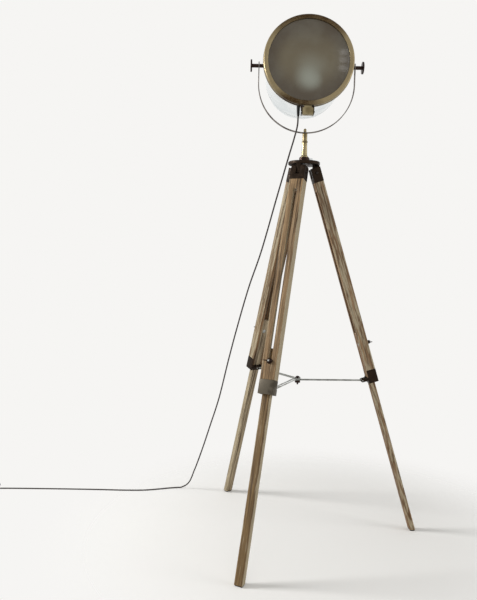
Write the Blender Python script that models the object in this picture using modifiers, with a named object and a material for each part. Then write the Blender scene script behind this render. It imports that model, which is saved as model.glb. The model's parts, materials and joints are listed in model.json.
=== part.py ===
"""Tripod floor lamp: a glazed drum spotlight in a U yoke on three telescopic wooden legs.

Units are metres and +Z is up.  The lamp faces -Y and stands on the floor at z = 0.
The origin is the middle of the feet's footprint; the post's axis stands beside it.
"""

import math

import bmesh
import bpy
from mathutils import Matrix, Vector

# ---------------------------------------------------------------- driving dimensions
GAP = 0.0003

# Crown and post
CROWN_TOP = 1.105
CROWN_THICKNESS = 0.010
CROWN_EDGE = 0.002
CROWN_RADIUS = 0.046
COLLAR_HEIGHT = 0.0125
COLLAR_RADIUS = 0.0145
SPIGOT_RADIUS = 0.010
POST_RADIUS = 0.0070
POST_TOP = 1.1862
POST_BEAD_RISE = 0.042
POST_BEAD_RADIUS = 0.0020
LOCK_SCREW_LENGTH = 0.027
TONGUE_HALF_WIDTH = 0.0094
TONGUE_HALF_THICKNESS = 0.006
TONGUE_EYE_RADIUS = 0.0100

# Legs
LEG_TURN = math.radians(3.8)
LEG_NAMES = ("right", "left", "front")
LEG_SPLAY = math.radians(17.5)
HINGE_RADIUS = 0.035
HINGE_HEIGHT = 1.072
HINGE_PIN_RADIUS = 0.004
UPPER_WIDTH = 0.042
UPPER_DEPTH = 0.027
UPPER_END = 0.6385
CAP_TOP = 0.0155
CAP_END = 0.026
CAP_WALL = 0.0022
GROOVE_START = 0.052
SLOT_START = 0.062
SLOT_WIDTH = 0.0092
WEB_THICKNESS = 0.010
LOWER_WIDTH = 0.023
LOWER_DEPTH = 0.016
LOWER_HEAD = {"right": 0.486, "left": 0.468, "front": 0.515}
CLAMP_BELOW_HEAD = 0.036
BRACKET_LENGTH = 0.038
BRACKET_WALL = 0.0018
PAD_THICKNESS = 0.003

# Spreader
STAY_LEVEL = 0.4665
STAY_STEP = 0.0028
STAY_THICKNESS = 0.0025
STAY_WIDTH = 0.013
STAY_TRAVEL = 0.140
LUG_REACH = 0.0300
LUG_HALF_HEIGHT = 0.0050
EYE_RADIUS = 0.0036

# Yoke and head
TILT_HEIGHT = 1.375
HEAD_TILT = math.radians(4)
YOKE_RADIUS = 0.1381
YOKE_THICKNESS = 0.0025
YOKE_WIDTH = 0.012
YOKE_BOTTOM = 1.1865
YOKE_ABOVE_AXIS = 0.012
PIN_RADIUS = 0.002
PIN_BORE = PIN_RADIUS + GAP
STUD_RADIUS = 0.003
BEZEL_RADIUS = 0.1275
BEZEL_OPENING = 0.1142
BEZEL_FRONT = 0.060
BEZEL_BACK = 0.0422
HOUSING_RADIUS = 0.119
HOUSING_WALL = 0.0015
HOUSING_FRONT = 0.0395
HOUSING_BACK = -0.172
KNUCKLE_DROP = 0.144
KNUCKLE_FORWARD = 0.052
GLAND_X = -0.0245
GLAND_FORWARD = 0.028
GLAND_END = -0.1503
GLAND_MOUTH_RADIUS = 0.0036
GLAND_NECK_RADIUS = 0.0047
EAR_INSIDE = 0.0153
EAR_OUTSIDE = 0.0178
CATCH_HALF_WIDTH = 0.008
REFLECTOR_FOCAL = 0.0345
REFLECTOR_RIM = 0.028
REFLECTOR_MOUTH = 0.110
REFLECTOR_NECK = 0.022
REFLECTOR_WALL = 0.001
GASKET_THICKNESS = 0.0015
KNOB_RADIUS = 0.0172
KNOB_FACE = 0.1625
SHAFT_RADIUS = 0.00525

# Cord
CORD_DIAMETER = 0.0046
CORD_LANDS = 0.015
CORD_SPLIT = 0.0012
COIL_TURN_RADIUS = 0.0245
COIL_WIDTH = 0.0094
COIL_CENTRE = (-1.135, 0.306)
PLUG_CENTRE = (-1.128, 0.2655)
CORD_POINTS = (
    (-0.1040, -0.0240, 1.202),
    (-0.1105, -0.0080, 1.170),
    (-0.121, 0.010, 1.130),
    (-0.153, 0.047, 1.005),
    (-0.195, 0.094, 0.839),
    (-0.229, 0.123, 0.730),
    (-0.264, 0.165, 0.593),
    (-0.289, 0.196, 0.485),
    (-0.319, 0.235, 0.347),
    (-0.347, 0.263, 0.249),
    (-0.374, 0.290, 0.157),
    (-0.401, 0.313, 0.075),
    (-0.424, 0.328, 0.020),
    (-0.452, 0.333, 0.0024),
    (-0.486, 0.326, 0.0024),
    (-0.520, 0.315, 0.0024),
    (-0.569, 0.301, 0.0024),
    (-0.640, 0.295, 0.0024),
    (-0.735, 0.295, 0.0024),
    (-0.929, 0.291, 0.0024),
    (-1.060, 0.286, 0.0024),
)

FINISHES = {
    "weathered_wood": ((0.20, 0.13, 0.08), 0.0, 0.75),
    "black_iron": ((0.025, 0.018, 0.015), 0.9, 0.55),
    "antique_brass": ((0.45, 0.34, 0.17), 1.0, 0.35),
    "polished_nickel": ((0.75, 0.77, 0.78), 1.0, 0.15),
    "smoked_glass": ((0.14, 0.12, 0.09), 0.0, 0.25),
    "clear_glass": ((0.8, 0.8, 0.8), 0.0, 0.1),
    "aluminium": ((0.8, 0.8, 0.8), 1.0, 0.3),
    "steel": ((0.35, 0.35, 0.34), 1.0, 0.4),
    "porcelain": ((0.8, 0.78, 0.73), 0.0, 0.4),
    "black_rubber": ((0.02, 0.02, 0.02), 0.0, 0.8),
    "cloth_cord": ((0.04, 0.03, 0.025), 0.0, 0.9),
}


# ---------------------------------------------------------------- modelling helpers
def collection(name):
    """A new collection, linked to the scene."""
    made = bpy.data.collections.new(name)
    bpy.context.scene.collection.children.link(made)
    return made


def finish_material(name, finish):
    """A plain material in the named finish."""
    colour, metallic, roughness = FINISHES[finish]
    material = bpy.data.materials.new(f"{name}_{finish}")
    material.use_nodes = True
    shader = material.node_tree.nodes["Principled BSDF"]
    shader.inputs["Base Color"].default_value = (*colour, 1.0)
    shader.inputs["Metallic"].default_value = metallic
    shader.inputs["Roughness"].default_value = roughness
    return material


def empty(name, parent=None, location=(0, 0, 0), rotation=(0, 0, 0)):
    """An axis to hang parts on."""
    made = bpy.data.objects.new(name, None)
    made.location = location
    made.rotation_euler = rotation
    made.parent = parent
    made.empty_display_size = 0.03
    PARTS.objects.link(made)
    return made


def place(name, bm, parent, location, rotation, finish):
    """An object from the mesh; without a finish it is a hidden cutter."""
    mesh = bpy.data.meshes.new(name)
    bmesh.ops.recalc_face_normals(bm, faces=bm.faces)
    bm.to_mesh(mesh)
    bm.free()
    made = bpy.data.objects.new(name, mesh)
    made.location = location
    made.rotation_euler = rotation
    made.parent = parent
    if finish is None:
        made.hide_render = True
        made.display_type = "WIRE"
        CUTTERS.objects.link(made)
        return made
    mesh.materials.append(finish_material(name, finish))
    mesh.shade_smooth()
    mesh.set_sharp_from_angle(angle=math.radians(35))
    PARTS.objects.link(made)
    return made


def box(name, low, high, parent=None, finish=None, location=(0, 0, 0), rotation=(0, 0, 0)):
    """A block between two opposite corners given in the object's own axes."""
    low, high = Vector(low), Vector(high)
    bm = bmesh.new()
    size = Matrix.Diagonal((*(high - low), 1.0))
    bmesh.ops.create_cube(bm, size=1.0, matrix=Matrix.Translation((low + high) / 2) @ size)
    return place(name, bm, parent, location, rotation, finish)


def rod(name, start, end, radius, parent=None, finish=None, end_radius=None, segments=20):
    """A round bar, or a cone where end_radius is given, between two points."""
    start, end = Vector(start), Vector(end)
    turn = (end - start).to_track_quat("Z", "Y").to_matrix().to_4x4()
    bm = bmesh.new()
    bmesh.ops.create_cone(
        bm,
        cap_ends=True,
        segments=segments,
        radius1=radius,
        radius2=radius if end_radius is None else end_radius,
        depth=(end - start).length,
        matrix=Matrix.Translation((end - start) / 2) @ turn,
    )
    return place(name, bm, parent, start, (0, 0, 0), finish)


def turned(name, profile, parent, finish, location=(0, 0, 0), rotation=(0, 0, 0), steps=32, ring=False):
    """A turned shape: the profile (radius, height) runs down its outer side; a ring's profile closes."""
    mesh = bpy.data.meshes.new(name)
    points = [(radius, 0.0, height) for radius, height in profile]
    edges = [(i, i + 1) for i in range(len(points) - 1)]
    if ring:
        edges.append((len(points) - 1, 0))
    mesh.from_pydata(points, edges, [])
    made = bpy.data.objects.new(name, mesh)
    made.location = location
    made.rotation_euler = rotation
    made.parent = parent
    screw = made.modifiers.new("turn", "SCREW")
    screw.steps = steps
    screw.render_steps = steps
    screw.use_merge_vertices = True
    screw.merge_threshold = 0.00005
    if finish is None:
        made.hide_render = True
        made.display_type = "WIRE"
        CUTTERS.objects.link(made)
        return made
    mesh.materials.append(finish_material(name, finish))
    PARTS.objects.link(made)
    return made


def cut(target, cutter):
    """Take the cutter away from the target with an exact boolean."""
    modifier = target.modifiers.new(f"cut_{cutter.name}", "BOOLEAN")
    modifier.operation = "DIFFERENCE"
    modifier.object = cutter


def join(target, tool):
    """Unite the tool with the target."""
    modifier = target.modifiers.new(f"join_{tool.name}", "BOOLEAN")
    modifier.operation = "UNION"
    modifier.object = tool


def arc(centre, radius, start, end, count):
    """Points (u, v) on an arc between two angles in degrees, ends included."""
    steps = [start + (end - start) * i / (count - 1) for i in range(count)]
    return [
        (centre[0] + radius * math.cos(math.radians(a)), centre[1] + radius * math.sin(math.radians(a)))
        for a in steps
    ]


# ---------------------------------------------------------------- leg geometry
def leg_angle(index):
    """The leg's bearing about the tripod's axis."""
    return LEG_TURN + index * math.radians(120)


def leg_point(across, along):
    """(radius from the post's axis, height) of a point of the leg's own x and z."""
    radius = HINGE_RADIUS + across * math.cos(LEG_SPLAY) - along * math.sin(LEG_SPLAY)
    height = HINGE_HEIGHT + across * math.sin(LEG_SPLAY) + along * math.cos(LEG_SPLAY)
    return radius, height


def along_at_height(across, height):
    """The leg's own z at which a line along the leg, at this x, meets a height."""
    return (height - HINGE_HEIGHT - across * math.sin(LEG_SPLAY)) / math.cos(LEG_SPLAY)


def clamp_at(name):
    """How far down the leg its clamp bolt sits."""
    return LOWER_HEAD[name] + CLAMP_BELOW_HEAD


LOWER_OUTER = UPPER_DEPTH / 2 - WEB_THICKNESS
LOWER_INNER = LOWER_OUTER - LOWER_DEPTH
SOLE_HEIGHT = PAD_THICKNESS + GAP


def footprint_middle():
    """Middle of the box around the three lower legs' soles, seen from the post's axis."""
    reach = leg_point(LOWER_OUTER, along_at_height(LOWER_OUTER, SOLE_HEIGHT))[0]
    corners = []
    for index in range(len(LEG_NAMES)):
        turn = Matrix.Rotation(leg_angle(index), 2)
        corners += [turn @ Vector((reach, side * LOWER_WIDTH / 2)) for side in (-1, 1)]
    xs = [corner.x for corner in corners]
    ys = [corner.y for corner in corners]
    return (min(xs) + max(xs)) / 2, (min(ys) + max(ys)) / 2


# ---------------------------------------------------------------- crown and post
def make_crown(axis):
    """Turned hub with one tongue for each leg, the collar round the post and its lock screw."""
    top = CROWN_TOP
    under = CROWN_TOP - CROWN_THICKNESS
    profile = [
        (SPIGOT_RADIUS + GAP, top),
        (CROWN_RADIUS - CROWN_EDGE, top),
        (CROWN_RADIUS, top - CROWN_EDGE),
        (CROWN_RADIUS, under + CROWN_EDGE),
        (CROWN_RADIUS - CROWN_EDGE, under),
        (SPIGOT_RADIUS + GAP, under),
    ]
    hub = turned("crown_hub", profile, axis, "black_iron", steps=36, ring=True)
    for index, name in enumerate(LEG_NAMES):
        pivot = empty(f"tongue_axis_{name}", axis, rotation=(0, 0, leg_angle(index)))
        tongue = box(
            f"tongue_{name}",
            (HINGE_RADIUS - TONGUE_HALF_WIDTH, -TONGUE_HALF_THICKNESS, HINGE_HEIGHT),
            (HINGE_RADIUS + TONGUE_HALF_WIDTH, TONGUE_HALF_THICKNESS, top - CROWN_THICKNESS / 2),
            pivot,
        )
        eye = rod(
            f"tongue_eye_{name}",
            (HINGE_RADIUS, -0.0058, HINGE_HEIGHT),
            (HINGE_RADIUS, 0.0058, HINGE_HEIGHT),
            TONGUE_EYE_RADIUS,
            pivot,
        )
        hole = rod(
            f"tongue_hole_{name}",
            (HINGE_RADIUS, -0.008, HINGE_HEIGHT),
            (HINGE_RADIUS, 0.008, HINGE_HEIGHT),
            HINGE_PIN_RADIUS + GAP,
            pivot,
        )
        join(hub, tongue)
        join(hub, eye)
        cut(hub, hole)
    collar_low = top + GAP
    collar_high = collar_low + COLLAR_HEIGHT
    collar = turned(
        "post_collar",
        [
            (SPIGOT_RADIUS + GAP, collar_high),
            (COLLAR_RADIUS - 0.001, collar_high),
            (COLLAR_RADIUS, collar_high - 0.001),
            (COLLAR_RADIUS, collar_low),
            (SPIGOT_RADIUS + GAP, collar_low),
        ],
        axis,
        "black_iron",
        steps=28,
        ring=True,
    )
    middle = (collar_low + collar_high) / 2
    screw_from = SPIGOT_RADIUS + 2 * GAP
    head_from = COLLAR_RADIUS + 0.001
    hole_from = (screw_from - 0.002, 0, middle)
    cut(collar, rod("lock_hole", hole_from, (0.02, 0, middle), PIN_BORE, axis))
    screw_end = (LOCK_SCREW_LENGTH, 0, middle)
    screw = rod("pan_lock_screw", (screw_from, 0, middle), screw_end, PIN_RADIUS, axis, "polished_nickel")
    join(screw, rod("lock_head", (head_from, 0, middle), (head_from + 0.009, 0, middle), 0.0042, axis))


def make_post(pan):
    """The post's spigot turns in the crown; its stud passes the yoke into the finial nut."""
    foot = CROWN_TOP + COLLAR_HEIGHT + 2 * GAP
    bead = foot + POST_BEAD_RISE
    profile = [
        (0.0, YOKE_BOTTOM + YOKE_THICKNESS + 0.0060),
        (STUD_RADIUS, YOKE_BOTTOM + YOKE_THICKNESS + 0.0060),
        (STUD_RADIUS, POST_TOP),
        (POST_RADIUS, POST_TOP),
        (POST_RADIUS, bead + 2 * POST_BEAD_RADIUS),
        *arc((POST_RADIUS, bead + POST_BEAD_RADIUS), POST_BEAD_RADIUS, 75, -75, 5),
        (POST_RADIUS, bead),
        (POST_RADIUS + 0.0010, foot + 0.010),
        (SPIGOT_RADIUS + 0.0010, foot + 0.003),
        (SPIGOT_RADIUS + 0.0010, foot),
        (SPIGOT_RADIUS, foot),
        (SPIGOT_RADIUS, CROWN_TOP - CROWN_THICKNESS),
        (0.0, CROWN_TOP - CROWN_THICKNESS),
    ]
    low = [(radius, height - CROWN_TOP) for radius, height in profile]
    turned("post", low, pan, "antique_brass", steps=20)
    nut_low = YOKE_BOTTOM + YOKE_THICKNESS + GAP - CROWN_TOP
    nut = [
        (0.0, nut_low + 0.0110),
        *arc((0.0, nut_low + 0.0068), 0.0042, 75, 15, 4),
        (0.0042, nut_low),
        (STUD_RADIUS + GAP, nut_low),
        (STUD_RADIUS + GAP, nut_low + 0.0064),
        (0.0, nut_low + 0.0064),
    ]
    turned("finial_nut", nut, pan, "antique_brass", steps=20)


def make_yoke(pan):
    """A flat strip bent to a U and thickened; its ends are rounded above the tilt axis."""
    centre = YOKE_BOTTOM + YOKE_THICKNESS / 2 + YOKE_RADIUS
    top = TILT_HEIGHT + YOKE_ABOVE_AXIS
    rounding = YOKE_WIDTH / 2
    side = [top - rounding * (1 - math.sin(math.radians(a))) for a in (75, 50, 25, 0)]
    right = [(YOKE_RADIUS, height) for height in side]
    right += [(YOKE_RADIUS, TILT_HEIGHT - 0.018)]
    bend = arc((0.0, centre), YOKE_RADIUS, 0, -180, 41)
    left = [(-x, height) for x, height in reversed(right)]
    bm = bmesh.new()
    previous = None
    for x, height in right + bend + left:
        drop = max(0.0, height - (top - rounding))
        half = math.sqrt(max(rounding**2 - drop**2, 0.0))
        pair = [bm.verts.new((x, y, height - CROWN_TOP)) for y in (-half, half)]
        if previous:
            bm.faces.new((previous[0], pair[0], pair[1], previous[1]))
        previous = pair
    yoke = place("yoke_strap", bm, pan, (0, 0, 0), (0, 0, 0), "steel")
    thick = yoke.modifiers.new("thickness", "SOLIDIFY")
    thick.thickness = YOKE_THICKNESS
    thick.offset = 0.0
    for sign, name in ((-1, "left"), (1, "right")):
        height = TILT_HEIGHT - CROWN_TOP
        inner = (sign * (YOKE_RADIUS - 0.01), 0, height)
        outer = (sign * (YOKE_RADIUS + 0.01), 0, height)
        cut(yoke, rod(f"stud_hole_{name}", inner, outer, STUD_RADIUS + GAP, pan))
    low = YOKE_BOTTOM - 0.01 - CROWN_TOP
    cut(yoke, rod("post_hole", (0, 0, low), (0, 0, low + 0.03), STUD_RADIUS + GAP, pan))


# ---------------------------------------------------------------- head
def housing_profile(inset):
    """The drum's outer line, front to back, moved inwards by the inset."""
    radius = HOUSING_RADIUS - inset
    back = HOUSING_BACK + inset
    corner = 0.045
    rear = radius - 0.006
    shoulder = arc((rear - corner, back + corner), corner, 0, -90, 8)
    return [(radius, HOUSING_FRONT), (radius, 0.0), *shoulder, (0.0, back)]


def make_housing(head):
    """Thin spun drum, the gasket on its front edge and the reflector inside."""
    outer = housing_profile(0.0)
    inner = housing_profile(HOUSING_WALL)
    housing = turned("head_housing", list(reversed(inner)) + outer, head, "polished_nickel", steps=32)
    gland_top = (GLAND_X, -0.127, GLAND_FORWARD)
    cut(housing, rod("gland_hole", gland_top, (GLAND_X, -0.102, GLAND_FORWARD), 0.0053, head))
    gasket_back = HOUSING_FRONT + 0.0005
    turned(
        "lens_gasket",
        [
            (BEZEL_RADIUS + 0.0007, gasket_back + GASKET_THICKNESS),
            (BEZEL_RADIUS + 0.0007, gasket_back),
            (HOUSING_RADIUS - 0.003, gasket_back),
            (HOUSING_RADIUS - 0.003, gasket_back + GASKET_THICKNESS),
        ],
        head,
        "black_rubber",
        steps=48,
        ring=True,
    )
    spread = REFLECTOR_MOUTH - REFLECTOR_NECK
    radii = [REFLECTOR_NECK + spread * i / 7 for i in range(8)]
    depth = [(REFLECTOR_MOUTH**2 - r * r) / (4 * REFLECTOR_FOCAL) for r in radii]
    bowl = [(r, REFLECTOR_RIM - deep) for r, deep in reversed(list(zip(radii, depth)))]
    back = [(r, height - REFLECTOR_WALL) for r, height in bowl]
    turned("reflector", back + list(reversed(bowl)), head, "aluminium", steps=28, ring=True)


def make_lamp(head):
    """Porcelain socket on the drum's back wall, with a screw-cap globe bulb in it."""
    back = HOUSING_BACK + HOUSING_WALL + GAP
    socket = [
        (0.0, -0.0915),
        (0.0139, -0.0915),
        (0.0139, -0.0640),
        (0.0185, -0.0640),
        (0.0195, -0.0660),
        (0.0195, -0.1150),
        (0.0120, -0.1250),
        (0.0120, back + 0.005),
        (0.0180, back + 0.004),
        (0.0180, back),
        (0.0, back),
    ]
    turned("lamp_socket", socket, head, "porcelain", steps=28)
    cap = [(0.0, -0.0600), (0.0132, -0.0600), (0.0132, -0.0860), (0.0090, -0.0905), (0.0, -0.0905)]
    turned("bulb_cap", cap, head, "aluminium", steps=24)
    globe = arc((0.0, -0.0100), 0.0300, 90, -58, 12)
    glass = globe + [(0.0132, -0.0480), (0.0132, -0.0597), (0.0, -0.0597)]
    turned("bulb_glass", glass, head, "clear_glass", steps=28)


def make_head_fittings(head):
    """Trunnion bosses, cord gland, the bezel's hinge ears with their pin, and its catch."""
    for sign, name in ((-1, "left"), (1, "right")):
        boss = rod(
            f"trunnion_boss_{name}",
            (sign * (HOUSING_RADIUS + GAP), 0, 0),
            (sign * (YOKE_RADIUS - YOKE_THICKNESS / 2 - GAP), 0, 0),
            SHAFT_RADIUS,
            head,
            "black_iron",
        )
        inner = (sign * (HOUSING_RADIUS + 0.003), 0, 0)
        cut(boss, rod(f"boss_bore_{name}", inner, (sign * 0.15, 0, 0), STUD_RADIUS + GAP, head))
    gland = rod(
        "cord_gland",
        (GLAND_X, GLAND_END + GAP, GLAND_FORWARD),
        (GLAND_X, -0.1220, GLAND_FORWARD),
        GLAND_MOUTH_RADIUS,
        head,
        "black_rubber",
        end_radius=0.0050,
    )
    neck_low = (GLAND_X, -0.123, GLAND_FORWARD)
    neck_high = (GLAND_X, -0.111, GLAND_FORWARD)
    join(gland, rod("gland_neck", neck_low, neck_high, GLAND_NECK_RADIUS, head))
    plate_low = (-EAR_OUTSIDE, -0.1238, 0.018)
    plate_high = (EAR_OUTSIDE, -0.1196, 0.038)
    ears = box("bezel_hinge_ears", plate_low, plate_high, head, "black_iron")
    for sign, name in ((-1, "left"), (1, "right")):
        sides = sorted((sign * EAR_INSIDE, sign * EAR_OUTSIDE))
        join(ears, box(f"ear_arm_{name}", (sides[0], -0.1315, 0.026), (sides[1], -0.1198, 0.0378), head))
        join(ears, box(f"ear_{name}", (sides[0], -0.1500, 0.030), (sides[1], -0.1292, 0.0575), head))
    reach = EAR_OUTSIDE + 0.002
    pin_at = (-KNUCKLE_DROP, KNUCKLE_FORWARD)
    cut(ears, rod("ear_bore", (-0.03, *pin_at), (0.03, *pin_at), PIN_BORE, head))
    rod("bezel_hinge_pin", (-reach, *pin_at), (reach, *pin_at), PIN_RADIUS, head, "steel", segments=16)
    wide = CATCH_HALF_WIDTH
    catch = box("bezel_catch", (-wide, 0.1194, 0.006), (wide, 0.1210, 0.0390), head, "steel")
    join(catch, box("catch_hook", (-wide, 0.1205, 0.030), (wide, 0.1260, 0.0390), head))


def make_bezel(bezel):
    """Bezel ring, glass and hinge knuckle, measured from the hinge pin."""
    shift = (0.0, KNUCKLE_DROP, -KNUCKLE_FORWARD)
    lip = 0.0032
    ring = [
        (BEZEL_OPENING, BEZEL_FRONT - 0.001),
        *arc((BEZEL_OPENING + 0.0045, BEZEL_FRONT - 0.0045), 0.0045, 110, 90, 2),
        *arc((BEZEL_RADIUS - 0.0045, BEZEL_FRONT - 0.0045), 0.0045, 90, 0, 5),
        (BEZEL_RADIUS, BEZEL_BACK),
        (BEZEL_RADIUS - 0.003, BEZEL_BACK),
        (BEZEL_RADIUS - 0.003, BEZEL_FRONT - 0.001 - lip),
        (BEZEL_OPENING, BEZEL_FRONT - 0.001 - lip),
    ]
    turned("bezel_ring", ring, bezel, "antique_brass", location=shift, steps=40, ring=True)
    glass_radius = BEZEL_RADIUS - 0.004
    seat = BEZEL_FRONT - 0.001 - lip - GAP
    radii = [0.105 * i / 5 for i in range(6)]
    dome = 0.0045
    front = [(r, seat + dome * (1 - (r / BEZEL_OPENING) ** 2)) for r in radii]
    front += [(BEZEL_OPENING - 0.001, seat), (glass_radius, seat)]
    back = [(glass_radius, seat - 0.0035), (BEZEL_OPENING - 0.001, seat - 0.0035)]
    back += [(r, height - 0.0035) for r, height in reversed(front[:-2])]
    turned("lens_glass", front + back, bezel, "smoked_glass", location=shift, steps=36)
    block_low, block_high = (-0.0150, -0.0095, -0.0065), (0.0150, 0.0100, 0.0065)
    block = box("bezel_knuckle", block_low, block_high, bezel, "antique_brass")
    join(block, box("knuckle_neck", (-0.0105, 0.0080, -0.0060), (0.0105, 0.0160, 0.0050), bezel))
    cut(block, rod("knuckle_bore", (-0.02, 0, 0), (0.02, 0, 0), PIN_BORE, bezel))


def make_tilt_knob(head, sign, name):
    """Knurled disc, neck and stud; the stud passes the yoke into the boss."""
    outside = YOKE_RADIUS + YOKE_THICKNESS / 2 + GAP
    rim = 0.0008
    disc = 0.0045
    profile = [
        (0.0, KNOB_FACE),
        (KNOB_RADIUS - rim, KNOB_FACE),
        (KNOB_RADIUS, KNOB_FACE - rim),
        (KNOB_RADIUS, KNOB_FACE - disc + rim),
        (KNOB_RADIUS - rim, KNOB_FACE - disc),
        (SHAFT_RADIUS, KNOB_FACE - disc),
        (SHAFT_RADIUS, outside),
        (STUD_RADIUS, outside),
        (STUD_RADIUS, HOUSING_RADIUS + 0.005),
        (0.0, HOUSING_RADIUS + 0.005),
    ]
    turn = (0, sign * math.pi / 2, 0)
    turned(f"tilt_knob_{name}", profile, head, "black_iron", rotation=turn, steps=28)


# ---------------------------------------------------------------- legs
def make_upper_leg(fold, name):
    """Upper leg, grooved behind for the runner and slotted in front for the clamp bolt."""
    half_w, half_d = UPPER_WIDTH / 2, UPPER_DEPTH / 2
    leg = box(
        f"upper_leg_{name}",
        (-half_d, -half_w, -UPPER_END),
        (half_d, half_w, -0.0128),
        fold,
        "weathered_wood",
    )
    groove_half = LOWER_WIDTH / 2 + GAP
    groove_low = (-half_d - 0.01, -groove_half, -UPPER_END - 0.01)
    cut(leg, box(f"groove_{name}", groove_low, (LOWER_OUTER + GAP, groove_half, -GROOVE_START), fold))
    slot_end = clamp_at(name) + 0.0045
    slot_half = SLOT_WIDTH / 2
    cut(leg, box(f"slot_{name}", (-half_d, -slot_half, -slot_end), (0.03, slot_half, -SLOT_START), fold))
    entry = (-half_d, 0, -SLOT_START)
    cut(leg, rod(f"slot_entry_{name}", entry, (0.03, 0, -SLOT_START), SLOT_WIDTH * 0.7, fold))
    top_face = leg_sleeve(f"cap_rebate_{name}", fold, -CAP_END - GAP, 0.0, CAP_WALL, True)
    cut(leg, top_face)
    end = -UPPER_END + BRACKET_LENGTH
    cut(leg, leg_sleeve(f"bracket_rebate_{name}", fold, -UPPER_END - 0.01, end + GAP, BRACKET_WALL, False))


def leg_sleeve(name, fold, low, high, wall, inner_side):
    """A square tube, used to step the leg's section back where metal wraps it."""
    half_w, half_d = UPPER_WIDTH / 2, UPPER_DEPTH / 2
    inside = -half_d + wall if inner_side else -half_d - 0.02
    sleeve = box(name, (-half_d - 0.01, -half_w - 0.01, low), (half_d + 0.01, half_w + 0.01, high), fold)
    core_low = (inside, -half_w + wall, low - 0.01)
    core = box(f"{name}_core", core_low, (half_d - wall, half_w - wall, high + 0.01), fold)
    cut(sleeve, core)
    return sleeve


def make_leg_cap(fold, name):
    """Iron shoe over the leg's head, forked at the top to pass either side of the crown's tongue."""
    half_w, half_d = UPPER_WIDTH / 2 + 0.0004, UPPER_DEPTH / 2 + 0.0004
    cap = box(f"leg_cap_{name}", (-half_d, -half_w, -CAP_END), (half_d, half_w, CAP_TOP), fold, "black_iron")
    wall = CAP_WALL - GAP
    inner_low = (-UPPER_DEPTH / 2 + wall, -UPPER_WIDTH / 2 + wall, -CAP_END - 0.01)
    inner_high = (UPPER_DEPTH / 2 - wall, UPPER_WIDTH / 2 - wall, -0.0124)
    cut(cap, box(f"cap_socket_{name}", inner_low, inner_high, fold))
    cut(cap, box(f"cap_slot_{name}", (-0.03, -0.0064, -0.0111), (0.03, 0.0064, 0.03), fold))
    cut(cap, rod(f"cap_bore_{name}", (0, -0.03, 0), (0, 0.03, 0), HINGE_PIN_RADIUS + GAP, fold))
    reach = half_w + 0.003
    rod(f"hinge_bolt_{name}", (0, -reach, 0), (0, reach, 0), HINGE_PIN_RADIUS, fold, "steel")


def lug_along(index):
    """The leg's own z of the stay pin, so that the pin lies at this stay's level."""
    return along_at_height(-LUG_REACH, STAY_LEVEL + (index - 1) * STAY_STEP)


def make_bracket(fold, index, name):
    """Iron band round the leg's lower end, with a narrow strap inside and two lugs for the stay."""
    half_w, half_d = UPPER_WIDTH / 2 + 0.0003, UPPER_DEPTH / 2 + 0.0003
    strap = BRACKET_WALL
    low, high = -UPPER_END - 0.001, -UPPER_END + BRACKET_LENGTH
    band = box(
        f"leg_bracket_{name}",
        (-half_d - strap, -half_w, low),
        (half_d, half_w, high),
        fold,
        "black_iron",
    )
    inside = BRACKET_WALL - GAP
    core_low = (-half_d, -UPPER_WIDTH / 2 + inside, low - 0.01)
    core_high = (UPPER_DEPTH / 2 - inside, UPPER_WIDTH / 2 - inside, high + 0.01)
    cut(band, box(f"band_core_{name}", core_low, core_high, fold))
    strap_top = low + 0.0165
    window_low = (-half_d - 0.02, -half_w - 0.01, strap_top)
    cut(band, box(f"band_window_{name}", window_low, (-half_d + 0.0002, half_w + 0.01, high + 0.01), fold))
    middle = lug_along(index)
    lug_in, lug_out = STAY_WIDTH / 2 + 0.0005, STAY_WIDTH / 2 + 0.0025
    for sign, side in ((-1, "a"), (1, "b")):
        ys = sorted((sign * lug_in, sign * lug_out))
        tip = -LUG_REACH - 0.0015
        lug_low = (tip, ys[0], middle - LUG_HALF_HEIGHT)
        lug_high = (-half_d - 0.0004, ys[1], middle + LUG_HALF_HEIGHT)
        join(band, box(f"lug_{side}_{name}", lug_low, lug_high, fold))
        nose = (-LUG_REACH, ys[0], middle)
        nose_end = (-LUG_REACH, ys[1], middle)
        join(band, rod(f"lug_nose_{side}_{name}", nose, nose_end, LUG_HALF_HEIGHT * 0.98, fold))
    bore_low, bore_high = (-LUG_REACH, -0.03, middle), (-LUG_REACH, 0.03, middle)
    cut(band, rod(f"lug_bore_{name}", bore_low, bore_high, PIN_BORE, fold))
    reach = lug_out + 0.0015
    pin_low, pin_high = (-LUG_REACH, -reach, middle), (-LUG_REACH, reach, middle)
    rod(f"stay_pin_{name}", pin_low, pin_high, PIN_RADIUS, fold, "steel", segments=16)


def make_lower_leg(slide, name):
    """Square runner with a sole cut level with the floor; the clamp bolt sits near its head."""
    half_w = LOWER_WIDTH / 2
    leg = box(
        f"lower_leg_{name}",
        (LOWER_INNER, -half_w, -1.0),
        (LOWER_OUTER, half_w, -LOWER_HEAD[name]),
        slide,
        "weathered_wood",
    )
    for vertex in leg.data.vertices:
        if vertex.co.z < -LOWER_HEAD[name] - 0.01:
            vertex.co.z = along_at_height(vertex.co.x, SOLE_HEIGHT)
    bolt_radius = 0.003
    at = -clamp_at(name)
    outer = UPPER_DEPTH / 2 + 0.0125
    cut(leg, rod(f"bolt_hole_{name}", (-0.03, 0, at), (0.03, 0, at), bolt_radius + GAP, slide))
    head_high = LOWER_INNER + 0.0032
    cut(leg, rod(f"head_hole_{name}", (-0.03, 0, at), (head_high, 0, at), 0.0063, slide))
    bolt = rod(
        f"clamp_bolt_{name}",
        (LOWER_INNER + 0.0004, 0, at),
        (outer, 0, at),
        bolt_radius,
        slide,
        "steel",
    )
    head_low = (LOWER_INNER + 0.0003, 0, at)
    join(bolt, rod(f"bolt_head_{name}", head_low, (head_high - GAP, 0, at), 0.006, slide))


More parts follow.
